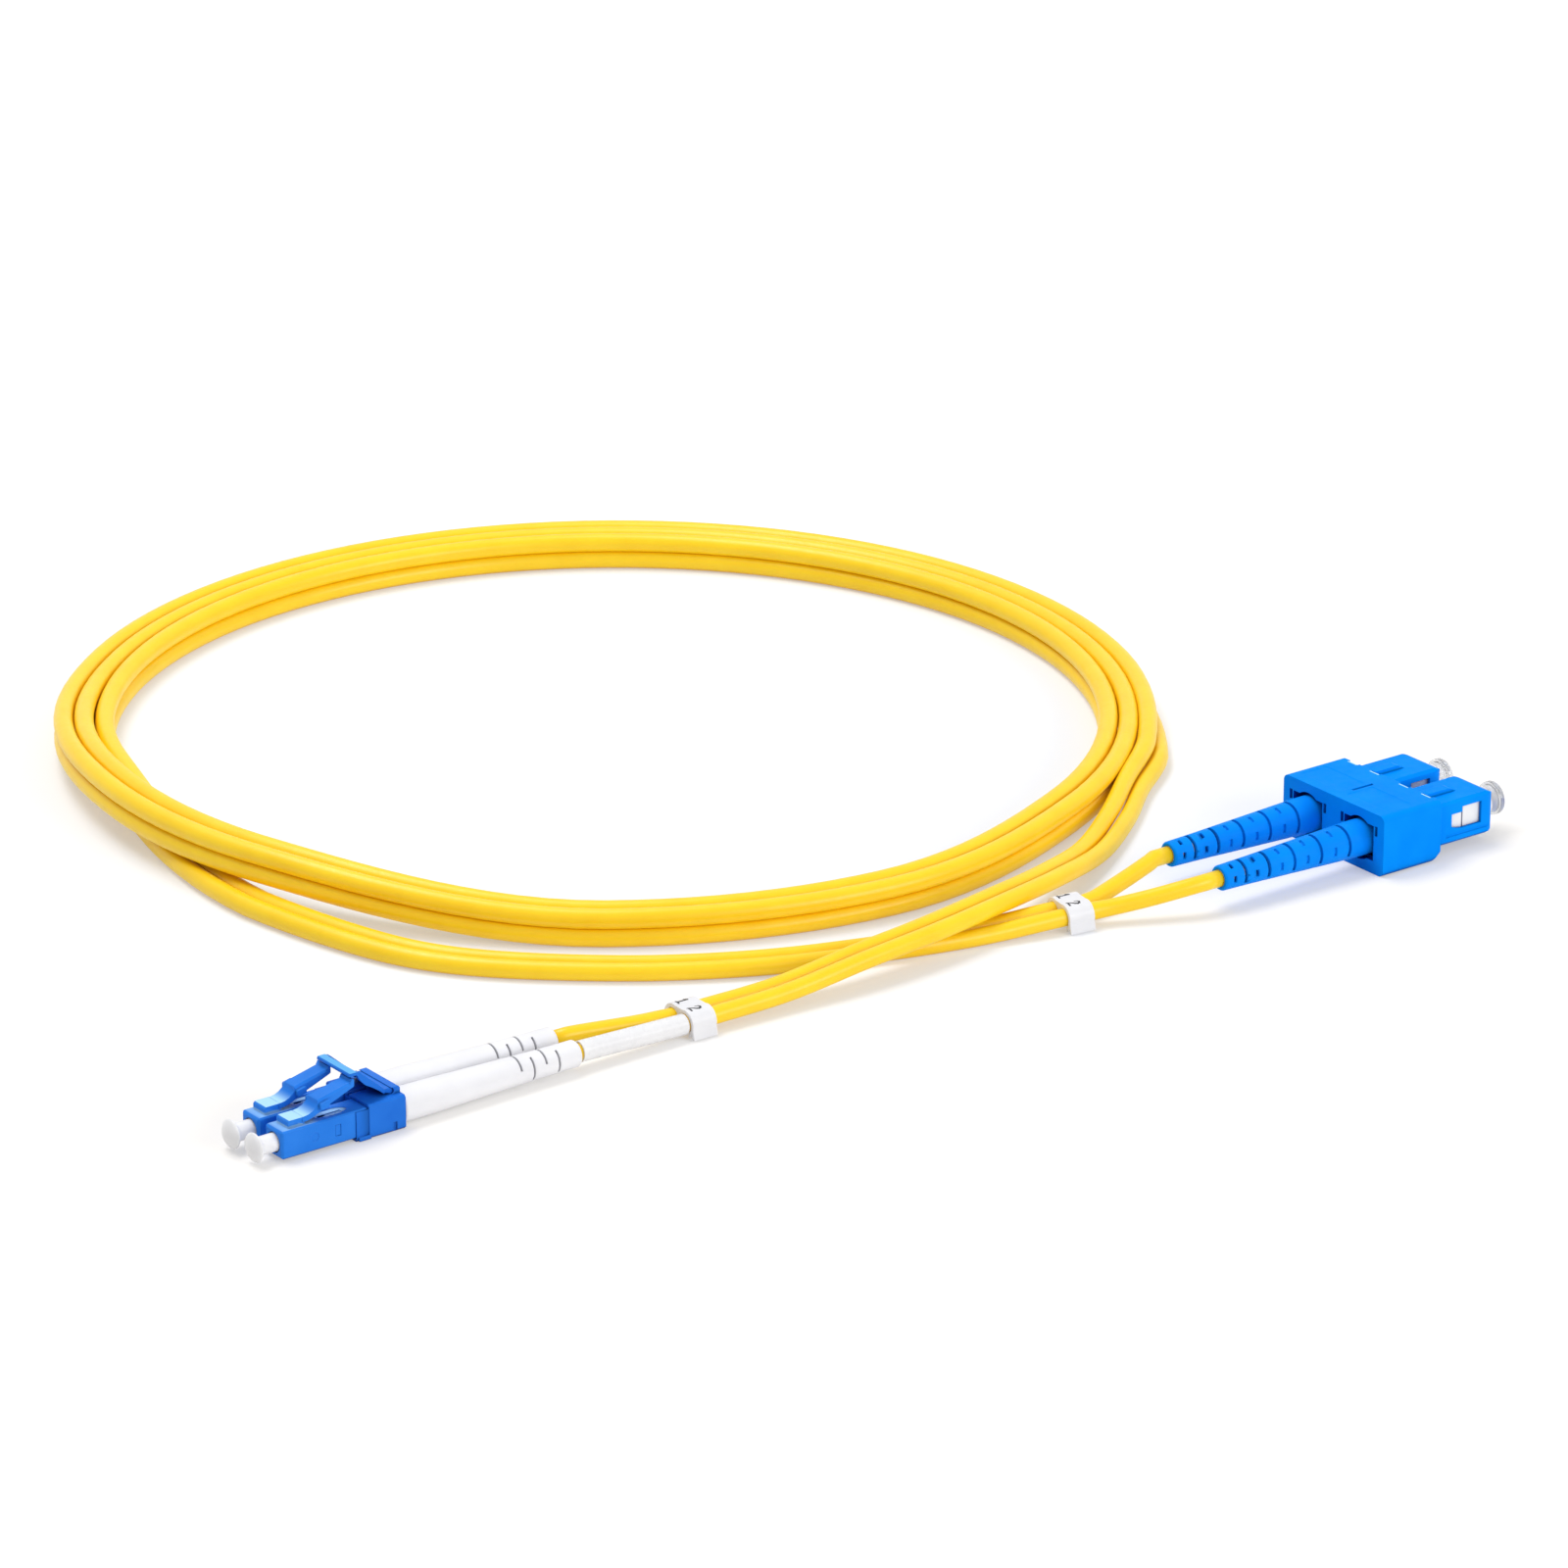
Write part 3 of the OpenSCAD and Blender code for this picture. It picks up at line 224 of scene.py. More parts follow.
route = settled(route, settled_from, settled_to, settling_rounds)
half_together, half_apart = 0.00165, 0.0021
fills_from, fills_to = first_turn - 14, first_turn + 6
slims_from, slims_to = last_turn - 4, last_turn + 24
swell_in_pair = 0.00008
swell_in_coil = 0.00018
square_rings = 2


def leg_radius(i):
    """The jacket swells where the legs lie together, and more where turn presses on turn."""
    together = 1 - ease(route[i][4], half_together, half_apart)
    coiled = ease(i, fills_from, fills_to) - ease(i, slims_from, slims_to)
    return jacket_r + swell_in_pair * together + swell_in_coil * coiled


def leg_line(side):
    """Centreline of one leg, square to the boots at both ends; side 1 lies on top in the coil."""
    line = []
    for i, (x, y, z, twist, half) in enumerate(route):
        before, after = route[max(i - 1, 0)], route[min(i + 1, len(route) - 1)]
        run = Vector((after[0] - before[0], after[1] - before[1])).normalized()
        if not square_rings <= i < len(route) - square_rings:
            run = Vector((1, 0))
        flat = side * half * math.cos(math.radians(twist))
        line.append(Vector((x - run[1] * flat, y + run[0] * flat,
                            z + side * half * math.sin(math.radians(twist))
                            + leg_radius(i) - jacket_r)))
    return line


def from_mesh(name, mesh):
    """Ends the work on a mesh and makes a piece of it."""
    data = bpy.data.meshes.new(name)
    mesh.to_mesh(data)
    mesh.free()
    return placed(name, data)


def tube(name, line, radii, sides):
    """Closed tube of rings round a line, each ring turned as little as possible from the last."""
    mesh = bmesh.new()
    across = Vector((0, 0, 1))
    rings = []
    for i, centre in enumerate(line):
        along = (line[min(i + 1, len(line) - 1)] - line[max(i - 1, 0)]).normalized()
        across = (across - across.dot(along) * along).normalized()
        other = along.cross(across)
        rings.append([
            mesh.verts.new(centre + radii[i] * (math.cos(a) * across + math.sin(a) * other))
            for a in (2 * math.pi * k / sides for k in range(sides))])
    for one, two in zip(rings, rings[1:]):
        for k in range(sides):
            mesh.faces.new((one[k], one[(k + 1) % sides], two[(k + 1) % sides], two[k]))
    mesh.faces.new(reversed(rings[0]))
    mesh.faces.new(rings[-1])
    for face in mesh.faces:
        face.smooth = len(face.verts) == 4
    bmesh.ops.recalc_face_normals(mesh, faces=mesh.faces)
    return from_mesh(name, mesh)


def new_material(name):
    """An unfinished finish: the material, its tree of nodes and the shader in it."""
    material = bpy.data.materials.new(name)
    material.use_nodes = True
    return material, material.node_tree, material.node_tree.nodes["Principled BSDF"]


def own_metres(tree):
    """Where a point lies on the piece, in the piece's own metres."""
    return tree.nodes.new("ShaderNodeTexCoord").outputs["Object"]


def speckle(tree, scale, detail=3.0):
    """Noise that keeps its size on every piece; most of it lies between 0.3 and 0.7."""
    noise = tree.nodes.new("ShaderNodeTexNoise")
    noise.inputs["Scale"].default_value = scale
    noise.inputs["Detail"].default_value = detail
    tree.links.new(own_metres(tree), noise.inputs["Vector"])
    return noise.outputs["Fac"]


def spread(tree, value, low, high, from_low=0.3, from_high=0.7):
    """Stretches a value from one range to another, and holds it at both ends."""
    scaled = tree.nodes.new("ShaderNodeMapRange")
    scaled.inputs["From Min"].default_value = from_low
    scaled.inputs["From Max"].default_value = from_high
    scaled.inputs["To Min"].default_value = low
    scaled.inputs["To Max"].default_value = high
    tree.links.new(value, scaled.inputs["Value"])
    return scaled.outputs["Result"]


def two_tone(tree, factor, one, two):
    """From one colour to the other; each is three numbers or the output of another mix."""
    mix = tree.nodes.new("ShaderNodeMix")
    mix.data_type = "RGBA"
    colours = [socket for socket in mix.inputs if socket.type == "RGBA"]
    for socket, colour in zip(colours, (one, two)):
        if isinstance(colour, tuple):
            socket.default_value = (*colour, 1)
        else:
            tree.links.new(colour, socket)
    tree.links.new(factor, mix.inputs["Factor"])
    return [socket for socket in mix.outputs if socket.type == "RGBA"][0]


def clouded(tree, scale, tones):
    """Slow drift between two tones of one colour."""
    return two_tone(tree, spread(tree, speckle(tree, scale), 0, 1), *tones)


def uneven_gloss(tree, shader, scale, low, high):
    """Roughness that changes a little over the surface."""
    tree.links.new(spread(tree, speckle(tree, scale), low, high), shader.inputs["Roughness"])


def shade_in_creases(tree, tone, shade_colour, reach, open_at):
    """Paints shade: darkens a tone down in slots and creases that are narrower than the reach,
    where the surface is hidden from the light.
    """
    shade = tree.nodes.new("ShaderNodeAmbientOcclusion")
    shade.samples = 6
    shade.inputs["Distance"].default_value = reach
    openness = spread(tree, shade.outputs["AO"], 0, 1, from_low=0.0, from_high=open_at)
    return two_tone(tree, openness, shade_colour, tone)


def milky(shader, weight, depths):
    """How much light enters the plastic, and how deep its red, green and blue go."""
    shader.inputs["Subsurface Weight"].default_value = weight
    shader.inputs["Subsurface Radius"].default_value = depths
    shader.inputs["Subsurface Scale"].default_value = 1.0


def bumps(tree, shader, height, depth, strength, edge_r=0.0):
    """Fine relief, over corners that are rounded to the edge radius in the shading."""
    relief = tree.nodes.new("ShaderNodeBump")
    relief.inputs["Strength"].default_value = strength
    relief.inputs["Distance"].default_value = depth
    tree.links.new(height, relief.inputs["Height"])
    if edge_r:
        worn = tree.nodes.new("ShaderNodeBevel")
        worn.samples = 6
        worn.inputs["Radius"].default_value = edge_r
        tree.links.new(worn.outputs[0], relief.inputs["Normal"])
    tree.links.new(relief.outputs["Normal"], shader.inputs["Normal"])


jacket_skin, tree, shader = new_material("jacket_skin")
milky(shader, weight=0.1, depths=(0.0009, 0.0005, 0.0001))
shader.inputs["Specular IOR Level"].default_value = 0.4
yellow = clouded(tree, scale=160, tones=((0.955, 0.615, 0.005), (0.99, 0.66, 0.010)))
# Between legs and turns the yellow is darkened towards amber: painted shade in the creases.
crease_shade_amber = (0.84, 0.44, 0.0)
skin_with_crease_shade = shade_in_creases(tree, yellow, crease_shade_amber, reach=0.0014, open_at=0.62)
tree.links.new(skin_with_crease_shade, shader.inputs["Base Color"])
uneven_gloss(tree, shader, scale=1100, low=0.32, high=0.42)
bumps(tree, shader, speckle(tree, scale=1900, detail=2), depth=0.000003, strength=0.14)

legs = {}
leg_lines = {}
radii = [leg_radius(i) for i in range(len(route))]
for letter, side in (("a", 1), ("b", -1)):
    leg_lines[letter] = leg_line(side)
    legs[letter] = tube(f"cord_leg_{letter}", leg_lines[letter], radii, sides=20)
    legs[letter].data.materials.append(jacket_skin)
    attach(legs[letter], "patch_cord")
    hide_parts(f"lc_lead_{letter}", f"coil_{letter}", f"sc_lead_{letter}")

# ---------------------------------------------------------------- LC housings and latches
# Square housing and its bent latch arm are one blue nylon moulding in each plug.  Every corner
# has the small radius of the mould.  The level faces at the feet near the nose and the floors of
# the oval recesses are painted paler, a painted highlight, and slots and creases get painted shade.

lc_nose_x = -0.1145
lc_row_y = 0.0064
lc_axis_z = 0.00275
lc_from_middle = 0.003125
foot_x, foot_top = 0.0034, 0.00346
foot_slope = 0.0002
recess_x, recess_floor = 0.0099, 0.00196
weld = 1e-6
flat_within = 0.6


def finished(node, finish):
    """Puts a finish on a solid that keeps its own form."""
    for place in frame["nodes"][node].material_slots:
        place.material = finish


def stand_in(piece, node, finish):
    """Lets a piece of the same form stand for a node, with its own finish."""
    piece.data.materials.clear()
    piece.data.materials.append(finish)
    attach(piece, frame["nodes"][node]["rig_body"])
    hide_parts(node)


def moulded(node, finish, corner_r, corner_from=32):
    """A moulding that stands for a node of the same form, with its outer corners rounded."""
    mesh = bmesh.new()
    mesh.from_mesh(frame["nodes"][node].data)
    bmesh.ops.remove_doubles(mesh, verts=mesh.verts, dist=weld)
    bmesh.ops.dissolve_limit(
        mesh, angle_limit=math.radians(flat_within), verts=mesh.verts, edges=mesh.edges)
    outer = mesh.edges.layers.float.new("bevel_weight_edge")
    for edge in mesh.edges:
        if len(edge.link_faces) == 2 and edge.is_convex:
            edge[outer] = edge.calc_face_angle() > math.radians(corner_from)
    piece = from_mesh(f"{node}_moulding", mesh)
    corners = piece.modifiers.new("corners", "BEVEL")
    corners.width = corner_r
    corners.segments = 2
    corners.limit_method = "WEIGHT"
    corners.use_clamp_overlap = False
    piece.data.shade_smooth()
    normals = piece.modifiers.new("normals", "WEIGHTED_NORMAL")
    normals.weight = 80
    stand_in(piece, node, finish)
    return piece


def plastic(name, tones, shade_colour, rough, gloss=0.1, edge_r=0.00016,
            reach=0.0009, open_at=0.55, soft=0.0):
    """Satin moulded plastic: slow drift of colour, uneven gloss, fine grain, and painted shade in
    slots and creases.
    """
    material, tree, shader = new_material(name)
    milky(shader, weight=soft, depths=(0.0006, 0.0006, 0.0007))
    shader.inputs["Specular IOR Level"].default_value = gloss
    tone = shade_in_creases(tree, clouded(tree, scale=180, tones=tones), shade_colour, reach, open_at)
    tree.links.new(tone, shader.inputs["Base Color"])
    uneven_gloss(tree, shader, scale=700, low=rough - 0.05, high=rough + 0.06)
    grain = speckle(tree, scale=2400, detail=4)
    bumps(tree, shader, grain, depth=0.000005, strength=0.4, edge_r=edge_r)
    return material


def reckon(tree, operation, one, two=0.0):
    """One step of arithmetic; each side is a number or the output of another step."""
    step = tree.nodes.new("ShaderNodeMath")
    step.operation = operation
    for socket, value in zip(step.inputs, (one, two)):
        if isinstance(value, (int, float)):
            socket.default_value = value
        else:
            tree.links.new(value, socket)
    return step.outputs[0]


def patch(tree, middle, half, blur, fold_lines):
    """1 inside a box, fading to 0 over the blur round it; each fold line mirrors the box in y."""
    axes = tree.nodes.new("ShaderNodeSeparateXYZ")
    tree.links.new(own_metres(tree), axes.inputs[0])
    x, y, z = axes.outputs
    for line_y in fold_lines:
        y = reckon(tree, "ABSOLUTE", reckon(tree, "SUBTRACT", y, line_y))
    outside = -1.0
    for value, centre, reach in zip((x, y, z), middle, half):
        off = reckon(tree, "ABSOLUTE", reckon(tree, "SUBTRACT", value, centre))
        outside = reckon(tree, "MAXIMUM", outside, reckon(tree, "SUBTRACT", off, reach))
    return spread(tree, outside, 1, 0, from_low=0, from_high=blur)


def facing_up(tree):
    """1 on level faces, 0 on walls."""
    axes = tree.nodes.new("ShaderNodeSeparateXYZ")
    tree.links.new(tree.nodes.new("ShaderNodeTexCoord").outputs["Normal"], axes.inputs[0])
    return spread(tree, axes.outputs[2], 0, 1, from_low=0.7, from_high=0.97)


def painted_sheen(material, sheen_colour, patches):
    """Paints a sheen: pales the level faces that lie in the patches, as a painted highlight."""
    tree = material.node_tree
    base = tree.nodes["Principled BSDF"].inputs["Base Color"]
    tone = base.links[0].from_socket
    sheen_amount = 0.0
    for area in patches:
        sheen_amount = reckon(tree, "MAXIMUM", sheen_amount, patch(tree, **area))
    sheen_amount = reckon(tree, "MULTIPLY", sheen_amount, facing_up(tree))
    tree.links.new(two_tone(tree, sheen_amount, tone, sheen_colour), base)


lc_nylon = plastic(
    "lc_nylon", ((0.015, 0.185, 0.72), (0.024, 0.215, 0.78)), shade_colour=(0.0, 0.010, 0.15),
    rough=0.36, reach=0.0018, open_at=0.6)
painted_sheen(lc_nylon, (0.42, 0.72, 0.96), [
    dict(middle=(lc_nose_x + foot_x, lc_from_middle, lc_axis_z + foot_top + foot_slope),
         half=(0.0014, 0.0015, 0.0003), blur=0.0022, fold_lines=(lc_row_y,)),
    dict(middle=(lc_nose_x + recess_x, lc_from_middle, lc_axis_z + recess_floor),
         half=(0.0030, 0.00115, 0.0001), blur=0.0001, fold_lines=(lc_row_y,)),
])
for letter in "ab":
    moulded(f"lc_housing_{letter}", lc_nylon, corner_r=0.00005)
    moulded(f"lc_latch_{letter}", lc_nylon, corner_r=0.00004)

# ---------------------------------------------------------------- LC duplex clip and trigger
# One moulding carries both housings side by side, and its hinged trigger presses both latches.
# Same blue nylon as the housings; the top of the bar that the thumb presses is painted paler, a
# painted highlight, and slots and creases get painted shade.

trigger_bar_x, trigger_bar_top = 0.0136, 0.00795
clip_nylon = plastic(
    "clip_nylon", ((0.010, 0.145, 0.64), (0.016, 0.175, 0.70)), shade_colour=(0.0, 0.010, 0.15),
    rough=0.36, reach=0.0022, open_at=0.65)
painted_sheen(clip_nylon, (0.11, 0.42, 0.82), [
    dict(middle=(lc_nose_x + trigger_bar_x, 0, lc_axis_z + trigger_bar_top),
         half=(0.0008, 0.0043, 0.0001), blur=0.0003, fold_lines=(lc_row_y,)),
])
moulded("lc_duplex_clip", clip_nylon, corner_r=0.00004)
moulded("lc_trigger", clip_nylon, corner_r=0.00002)

# ---------------------------------------------------------------- LC ferrules and springs
# Ground zirconia ferrule pressed into a nickel plated flange, with a steel spring behind it that
# holds it forward in the housing.


def darker(colour, share):
    return tuple(share * c for c in colour)


def tool_marks(tree, scale, wander=0.0):
    """Fine rings round X, as a wheel or a lathe tool leaves them."""
    rings = tree.nodes.new("ShaderNodeTexWave")
    rings.bands_direction = "X"
    rings.inputs["Scale"].default_value = scale
    rings.inputs["Distortion"].default_value = wander
    tree.links.new(own_metres(tree), rings.inputs["Vector"])
    return rings.outputs["Fac"]


def ground_ceramic(name, colour):
    """Zirconia: dense, glossy, with the faint rings of the grinding wheel."""
    material, tree, shader = new_material(name)
    milky(shader, weight=0.15, depths=(0.0003, 0.0003, 0.0003))
    cloud = clouded(tree, scale=900, tones=(colour, darker(colour, 0.96)))
    tree.links.new(cloud, shader.inputs["Base Color"])
    uneven_gloss(tree, shader, scale=3000, low=0.12, high=0.2)
    bumps(tree, shader, tool_marks(tree, scale=9000), depth=0.000001, strength=0.2)
    return material


def plated(name, colour, rough):
    """Plated metal: uneven sheen with fine turning marks round X."""
    material, tree, shader = new_material(name)
    shader.inputs["Metallic"].default_value = 1.0
    worn = clouded(tree, scale=1200, tones=(colour, darker(colour, 0.82)))
    tree.links.new(worn, shader.inputs["Base Color"])
    uneven_gloss(tree, shader, scale=2500, low=rough - 0.06, high=rough + 0.1)
    bumps(tree, shader, tool_marks(tree, scale=5000, wander=1.5), depth=0.000002, strength=0.4)
    return material


def wound(node, finish):
    """A spring with its own copy of the node's mesh, standing in for the node."""
    piece = placed(f"{node}_wire", frame["nodes"][node].data.copy())
    stand_in(piece, node, finish)
    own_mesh(piece)


zirconia = ground_ceramic("zirconia", (0.90, 0.89, 0.85))
nickel = plated("nickel", (0.72, 0.70, 0.66), rough=0.24)
spring_steel = plated("spring_steel", (0.58, 0.58, 0.60), rough=0.3)
for letter in "ab":
    finished(f"lc_ferrule_{letter}", zirconia)
    finished(f"lc_flange_{letter}", nickel)
    wound(f"lc_spring_{letter}", spring_steel)

# ---------------------------------------------------------------- LC stop bodies and crimps
# The blue insert snaps into the housing's side windows, and a plated sleeve crimps the cord's
# strength yarn on its ridged tail.

crimp_metal = plated("crimp_metal", (0.66, 0.65, 0.63), rough=0.34)
for letter in "ab":
    finished(f"lc_stop_body_{letter}", lc_nylon)
    finished(f"lc_crimp_sleeve_{letter}", crimp_metal)

# ---------------------------------------------------------------- fibre and jacket in the plugs
# Inside both plugs the white buffered fibre runs on to the ferrule, and the yellow jacket ends in
# the crimp.


def coated(name, tones, rough, grain, depth, soft=0.1):
    """Soft coated or pressed plastic of one colour, faintly clouded and grained."""
    material, tree, shader = new_material(name)
    milky(shader, weight=soft, depths=(0.0006, 0.0006, 0.0006))
    shader.inputs["Specular IOR Level"].default_value = 0.35
    tree.links.new(clouded(tree, scale=240, tones=tones), shader.inputs["Base Color"])
    uneven_gloss(tree, shader, scale=900, low=rough - 0.05, high=rough + 0.07)
    bumps(tree, shader, speckle(tree, grain, detail=4), depth, strength=0.4)
    return material


fibre_buffer = coated(
    "fibre_buffer", ((0.86, 0.86, 0.84), (0.90, 0.90, 0.88)), rough=0.4, grain=3000, depth=0.000003)
for plug in ("lc", "sc"):
    for letter in "ab":
        finished(f"{plug}_buffer_{letter}", fibre_buffer)
        finished(f"{plug}_jacket_{letter}", jacket_skin)

# ---------------------------------------------------------------- LC boots
# White bend relief boots of soft plastic, pushed over the crimp, with half ring slits near the
# cord end.

# Slits and creases in the white are darkened to grey: painted shade.
boot_white = plastic(
    "boot_white", ((0.80, 0.80, 0.83), (0.84, 0.84, 0.865)), shade_colour=(0.42, 0.42, 0.45),
    rough=0.42, soft=0.1)
for letter in "ab":
    moulded(f"lc_boot_{letter}", boot_white, corner_r=0.00005)

# ---------------------------------------------------------------- LC dust caps
# Soft white polythene mushrooms, pushed into the housings' noses over the ferrules.  Their turned
# curves stay smooth, so only the steeper corners are rounded.

turned_corner_from = 50
cap_white = coated(
    "cap_white", ((0.80, 0.80, 0.815), (0.84, 0.84, 0.85)), rough=0.4, grain=1500, depth=0.000008,
    soft=0.3)
for letter in "ab":
    moulded(f"lc_dust_cap_{letter}", cap_white, corner_r=0.00004, corner_from=turned_corner_from)

# ---------------------------------------------------------------- marker clips
# White snap clips hold the two legs a little apart, one near each pair of boots, and number them
# in black print across the top of each ring.

marker_place = {"lc_marker_clip": lc_route[:2], "sc_marker_clip": sc_route[6:8]}
marker_ring_r = 0.00226
marker_leg = 0.00165
print_back = 0.0004
ink_height = 0.00002
ink_bite = 0.000004
stroke = 0.00032
stroke_step = 0.00025
digit_strokes = {
    "1": [((-0.00035, 0.00060), (0.0, 0.00095)), ((0.0, 0.00095), (0.0, -0.00095)),
          ((-0.00040, -0.00095), (0.00040, -0.00095))],
    "2": [((-0.00050, 0.00050), (-0.00038, 0.00085)), ((-0.00038, 0.00085), (0.0, 0.00100)),
          ((0.0, 0.00100), (0.00038, 0.00085)), ((0.00038, 0.00085), (0.00048, 0.00050)),
          ((0.00048, 0.00050), (0.00035, 0.00010)), ((0.00035, 0.00010), (-0.00050, -0.00095)),
          ((-0.00050, -0.00095), (0.00055, -0.00095))],
}
clip_white = coated(
    "clip_white", ((0.76, 0.76, 0.785), (0.80, 0.80, 0.82)), rough=0.34, grain=1800, depth=0.000006,
    soft=0.15)
ink = coated(
    "ink", ((0.012, 0.012, 0.014), (0.03, 0.03, 0.035)), rough=0.5, grain=6000, depth=0.000002,
    soft=0.0)


def printed(name, digit, node, across):
    """A digit printed over the top of one ring of a marker clip, its top towards the SC end."""
    near, far = (Vector(point[:3]) for point in marker_place[node])
    along = (far - near).normalized()
    side = Vector((0, 0, 1)).cross(along).normalized()
    up = along.cross(side)
    centre = (near + far) / 2 - print_back * along + across * side
    mesh = bmesh.new()
    for (u0, v0), (u1, v1) in digit_strokes[digit]:
        run = Vector((u1 - u0, v1 - v0))
        step = run.normalized() * stroke / 2
        wide = Vector((-step[1], step[0]))
        pieces = max(1, round(run.length / stroke_step))
        overrun = {0: -step, pieces: step}
        rows = []
        for i in range(pieces + 1):
            reach = Vector((u0, v0)) + i / pieces * run + overrun.get(i, 0 * step)
            row = []
            for edge in (reach + wide, reach - wide):
                turn_by = -edge[0] / marker_ring_r
                for lift in (0, ink_height):
                    out = math.sin(turn_by) * side + math.cos(turn_by) * up
                    row.append(mesh.verts.new(
                        centre + edge[1] * along + (marker_ring_r + lift - ink_bite) * out))
            rows.append(row)
        for one, two in zip(rows, rows[1:]):
            mesh.faces.new((one[1], one[3], two[3], two[1]))
            mesh.faces.new((one[0], two[0], two[2], one[2]))
            mesh.faces.new((one[0], one[1], two[1], two[0]))
            mesh.faces.new((one[2], two[2], two[3], one[3]))
        for row in (rows[0], rows[-1]):
            mesh.faces.new((row[0], row[2], row[3], row[1]))
    bmesh.ops.recalc_face_normals(mesh, faces=mesh.faces)
    piece = from_mesh(name, mesh)
    piece.data.materials.append(ink)
    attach(piece, "patch_cord")


on_leg = {"a": [], "b": ["lc_label_sleeve"]}
for node in marker_place:
    on_leg["a"].append(moulded(node, clip_white, corner_r=0.00008))
    printed(f"{node}_digit_a", "1", node, marker_leg)
    printed(f"{node}_digit_b", "2", node, -marker_leg)

# ---------------------------------------------------------------- label sleeve
# A thin glossy white sleeve shrunk on one leg behind the LC boot, left blank for a label.

sleeve_film = coated(
    "sleeve_film", ((0.78, 0.78, 0.795), (0.82, 0.82, 0.83)), rough=0.26, grain=700, depth=0.000012)
finished("lc_label_sleeve", sleeve_film)

# ---------------------------------------------------------------- SC housings and clip
# Push-pull outer housings with their key, held together by a one-piece clip, in brighter blue
# plastic.  Four short strips on the clip's top just behind its front edge, where its four snap lips
# spring, are painted pale glints, and slots and creases get painted shade.

sc_nose_x = 0.1146
sc_axis_z = 0.00525
sc_from_middle = 0.00635
lip_x = -0.0126
lip_from_middle = 0.002745
lip_glint_back = 0.00052
sc_clip_top = 0.00525
sc_plastic = plastic(
    "sc_plastic", ((0.0, 0.245, 0.90), (0.001, 0.275, 0.96)), shade_colour=(0.0, 0.010, 0.16),
    rough=0.42, gloss=0.015, edge_r=0.0002, reach=0.0045, open_at=0.62)
painted_sheen(sc_plastic, (0.42, 0.80, 1.0), [
    dict(middle=(sc_nose_x + lip_x - lip_glint_back, lip_from_middle, sc_axis_z + sc_clip_top),
         half=(0.00012, 0.00105, 0.0002), blur=0.0001, fold_lines=(0.0, sc_from_middle)),
])
for letter in "ab":
    moulded(f"sc_shell_{letter}", sc_plastic, corner_r=0.00006)
moulded("sc_duplex_clip", sc_plastic, corner_r=0.00003)

# ---------------------------------------------------------------- SC plug frames
# The white frame holds everything in the plug, and shows through the housing's side windows.

# Deep in the windows the white is darkened to navy: painted shade.
frame_white = plastic(
    "frame_white", ((0.82, 0.82, 0.825), (0.86, 0.86, 0.86)), shade_colour=(0.03, 0.06, 0.20),
    rough=0.4, reach=0.007, open_at=0.72)
for letter in "ab":
    moulded(f"sc_plug_frame_{letter}", frame_white, corner_r=0.00005)

# ---------------------------------------------------------------- SC ferrules, springs and crimps
# As in the small plugs, in twice the size, with a turned metal stop body screwed in from behind.

for letter in "ab":
    finished(f"sc_ferrule_{letter}", zirconia)
    finished(f"sc_flange_{letter}", nickel)
    wound(f"sc_spring_{letter}", spring_steel)
    finished(f"sc_stop_body_{letter}", nickel)
    finished(f"sc_crimp_sleeve_{letter}", crimp_metal)

# ---------------------------------------------------------------- SC boots
# Ribbed blue boots of softer plastic: long and short slots take turns down to the cord end.

# Slots in the boots are darkened to deep blue: painted shade.
sc_soft = plastic(
    "sc_soft", ((0.001, 0.235, 0.88), (0.002, 0.265, 0.94)), shade_colour=(0.0, 0.012, 0.20),
    rough=0.46, gloss=0.03, edge_r=0.0001)
for letter in "ab":
    boot = moulded(f"sc_boot_{letter}", sc_soft, corner_r=0.00006)

# ---------------------------------------------------------------- SC dust caps
# Clear soft plastic tubes with a rim, pushed over the ferrules.

clear_plastic, tree, shader = new_material("clear_plastic")
shader.inputs["Transmission Weight"].default_value = 0.82
shader.inputs["IOR"].default_value = 1.45
haze = clouded(tree, scale=500, tones=((0.90, 0.91, 0.93), (0.96, 0.965, 0.97)))
tree.links.new(haze, shader.inputs["Base Color"])
uneven_gloss(tree, shader, scale=900, low=0.12, high=0.24)
bumps(tree, shader, speckle(tree, scale=700), depth=0.00001, strength=0.4)
for letter in "ab":
    moulded(
        f"sc_dust_cap_{letter}", clear_plastic, corner_r=0.00005, corner_from=turned_corner_from)

# ---------------------------------------------------------------- table and light
# A white card under the cord, a soft box high behind it for soft shadows towards the front, a
# weaker fill from the front right, and an even white room.  The card is toned against the yellow
# and the blue that the cord and the plugs throw on it.

card_half = 4
coil_rim, past_rim = 0.112, 0.135
far_from, far_to = 0.2, 0.45
far_lift = 0.25
card_lights, card_shows = 0.24, 0.35
room_lights, room_shows = 0.50, 1.0


def looked_at(tree):
    """1 where the camera, a mirror or a clear piece sees the surface, 0 where it only lights."""
    ray = tree.nodes.new("ShaderNodeLightPath").outputs
    through = reckon(tree, "MAXIMUM", ray["Is Glossy Ray"], ray["Is Transmission Ray"])
    return reckon(tree, "MAXIMUM", ray["Is Camera Ray"], through)


def lamp(name, place, aim, width, depth, watts):
    """A soft box turned to shine on a point."""
    light = bpy.data.lights.new(name, "AREA")
    light.shape = "RECTANGLE"
    light.size = width
    light.size_y = depth
    light.energy = watts
    box = placed(name, light)
    box.location = place
    box.rotation_euler = (Vector(aim) - Vector(place)).to_track_quat("-Z", "Y").to_euler()


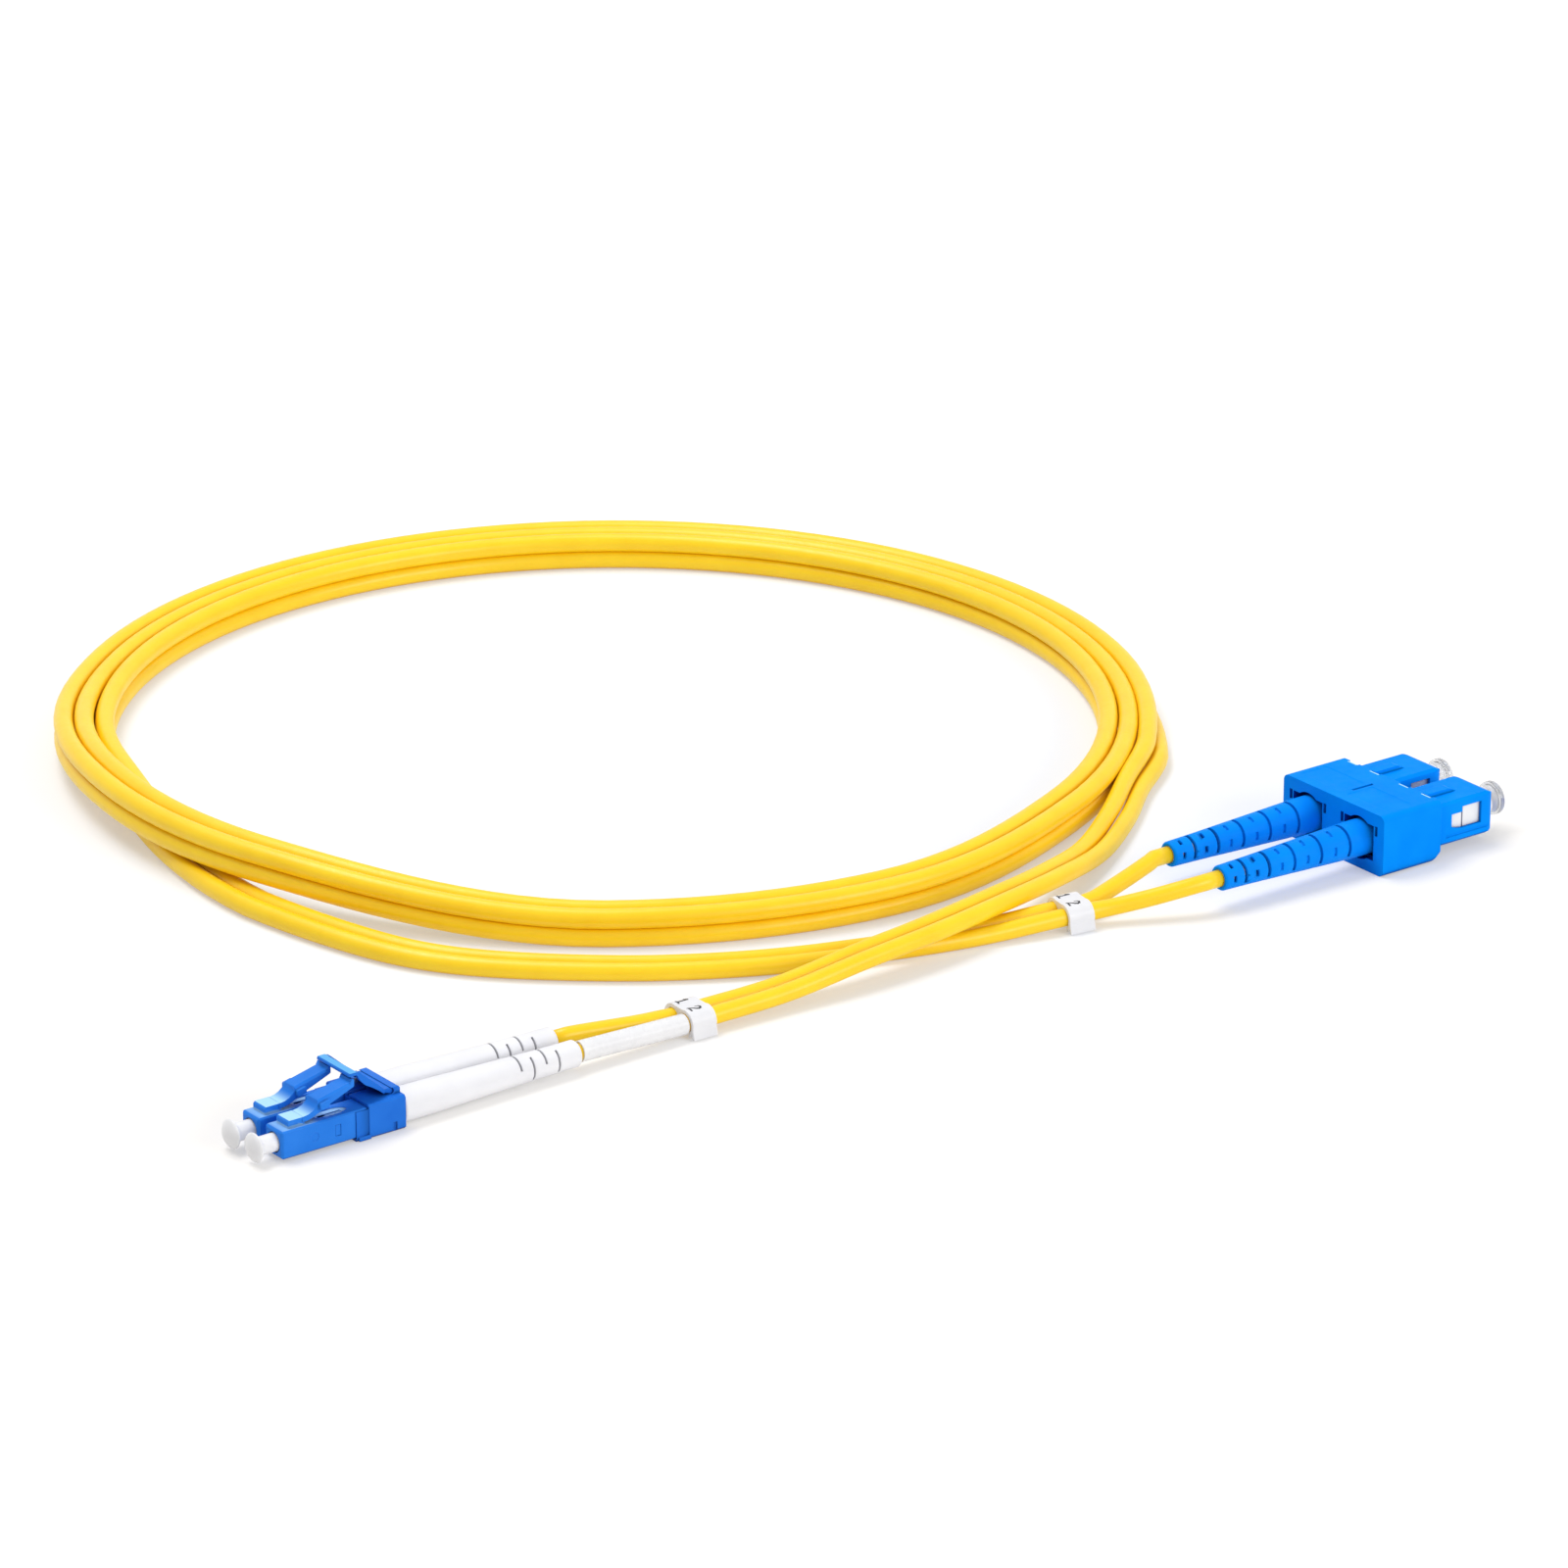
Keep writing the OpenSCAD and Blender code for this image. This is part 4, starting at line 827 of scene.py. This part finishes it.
card = bpy.data.meshes.new("table")
card.from_pydata([(-card_half, -card_half, 0), (card_half, -card_half, 0),
                  (card_half, card_half, 0), (-card_half, card_half, 0)], [], [(0, 1, 2, 3)])
placed("table", card)
paper, tree, shader = new_material("white_card")
tree.nodes.remove(shader)
from_coil = tree.nodes.new("ShaderNodeVectorMath")
from_coil.operation = "DISTANCE"
from_coil.inputs[1].default_value = (*coil_centre, 0)
tree.links.new(own_metres(tree), from_coil.inputs[0])
distance = from_coil.outputs["Value"]
outside = spread(tree, distance, 0, 1, from_low=coil_rim, from_high=past_rim)
cool, warm = (0.59, 0.605, 0.645), (0.625, 0.605, 0.58)
matt = tree.nodes.new("ShaderNodeBsdfDiffuse")
tree.links.new(two_tone(tree, outside, cool, warm), matt.inputs["Color"])
near_glow = spread(tree, looked_at(tree), card_lights, card_shows, from_low=0, from_high=1)
far_glow = spread(tree, distance, 0, far_lift, from_low=far_from, from_high=far_to)
glow = tree.nodes.new("ShaderNodeEmission")
glow.inputs["Color"].default_value = (1.0, 1.0, 1.0, 1)
tree.links.new(reckon(tree, "ADD", near_glow, far_glow), glow.inputs["Strength"])
both = tree.nodes.new("ShaderNodeAddShader")
tree.links.new(matt.outputs[0], both.inputs[0])
tree.links.new(glow.outputs[0], both.inputs[1])
tree.links.new(both.outputs[0], tree.nodes["Material Output"].inputs["Surface"])
card.materials.append(paper)

room = bpy.data.worlds.new("room")
room.use_nodes = True
bpy.context.scene.world = room
tree = room.node_tree
wall = tree.nodes["Background"]
wall.inputs["Color"].default_value = (0.98, 0.985, 1.0, 1)
seen_or_not = spread(tree, looked_at(tree), room_lights, room_shows, from_low=0, from_high=1)
tree.links.new(seen_or_not, wall.inputs["Strength"])

lamp("back_box", (-0.16, 0.50, 1.22), aim=(0, 0.05, 0), width=0.9, depth=0.6, watts=11)
lamp("front_fill", (0.45, -1.45, 0.62), aim=(0, 0, 0), width=1.1, depth=0.7, watts=13)

view = bpy.context.scene.view_settings
view.view_transform = "Standard"
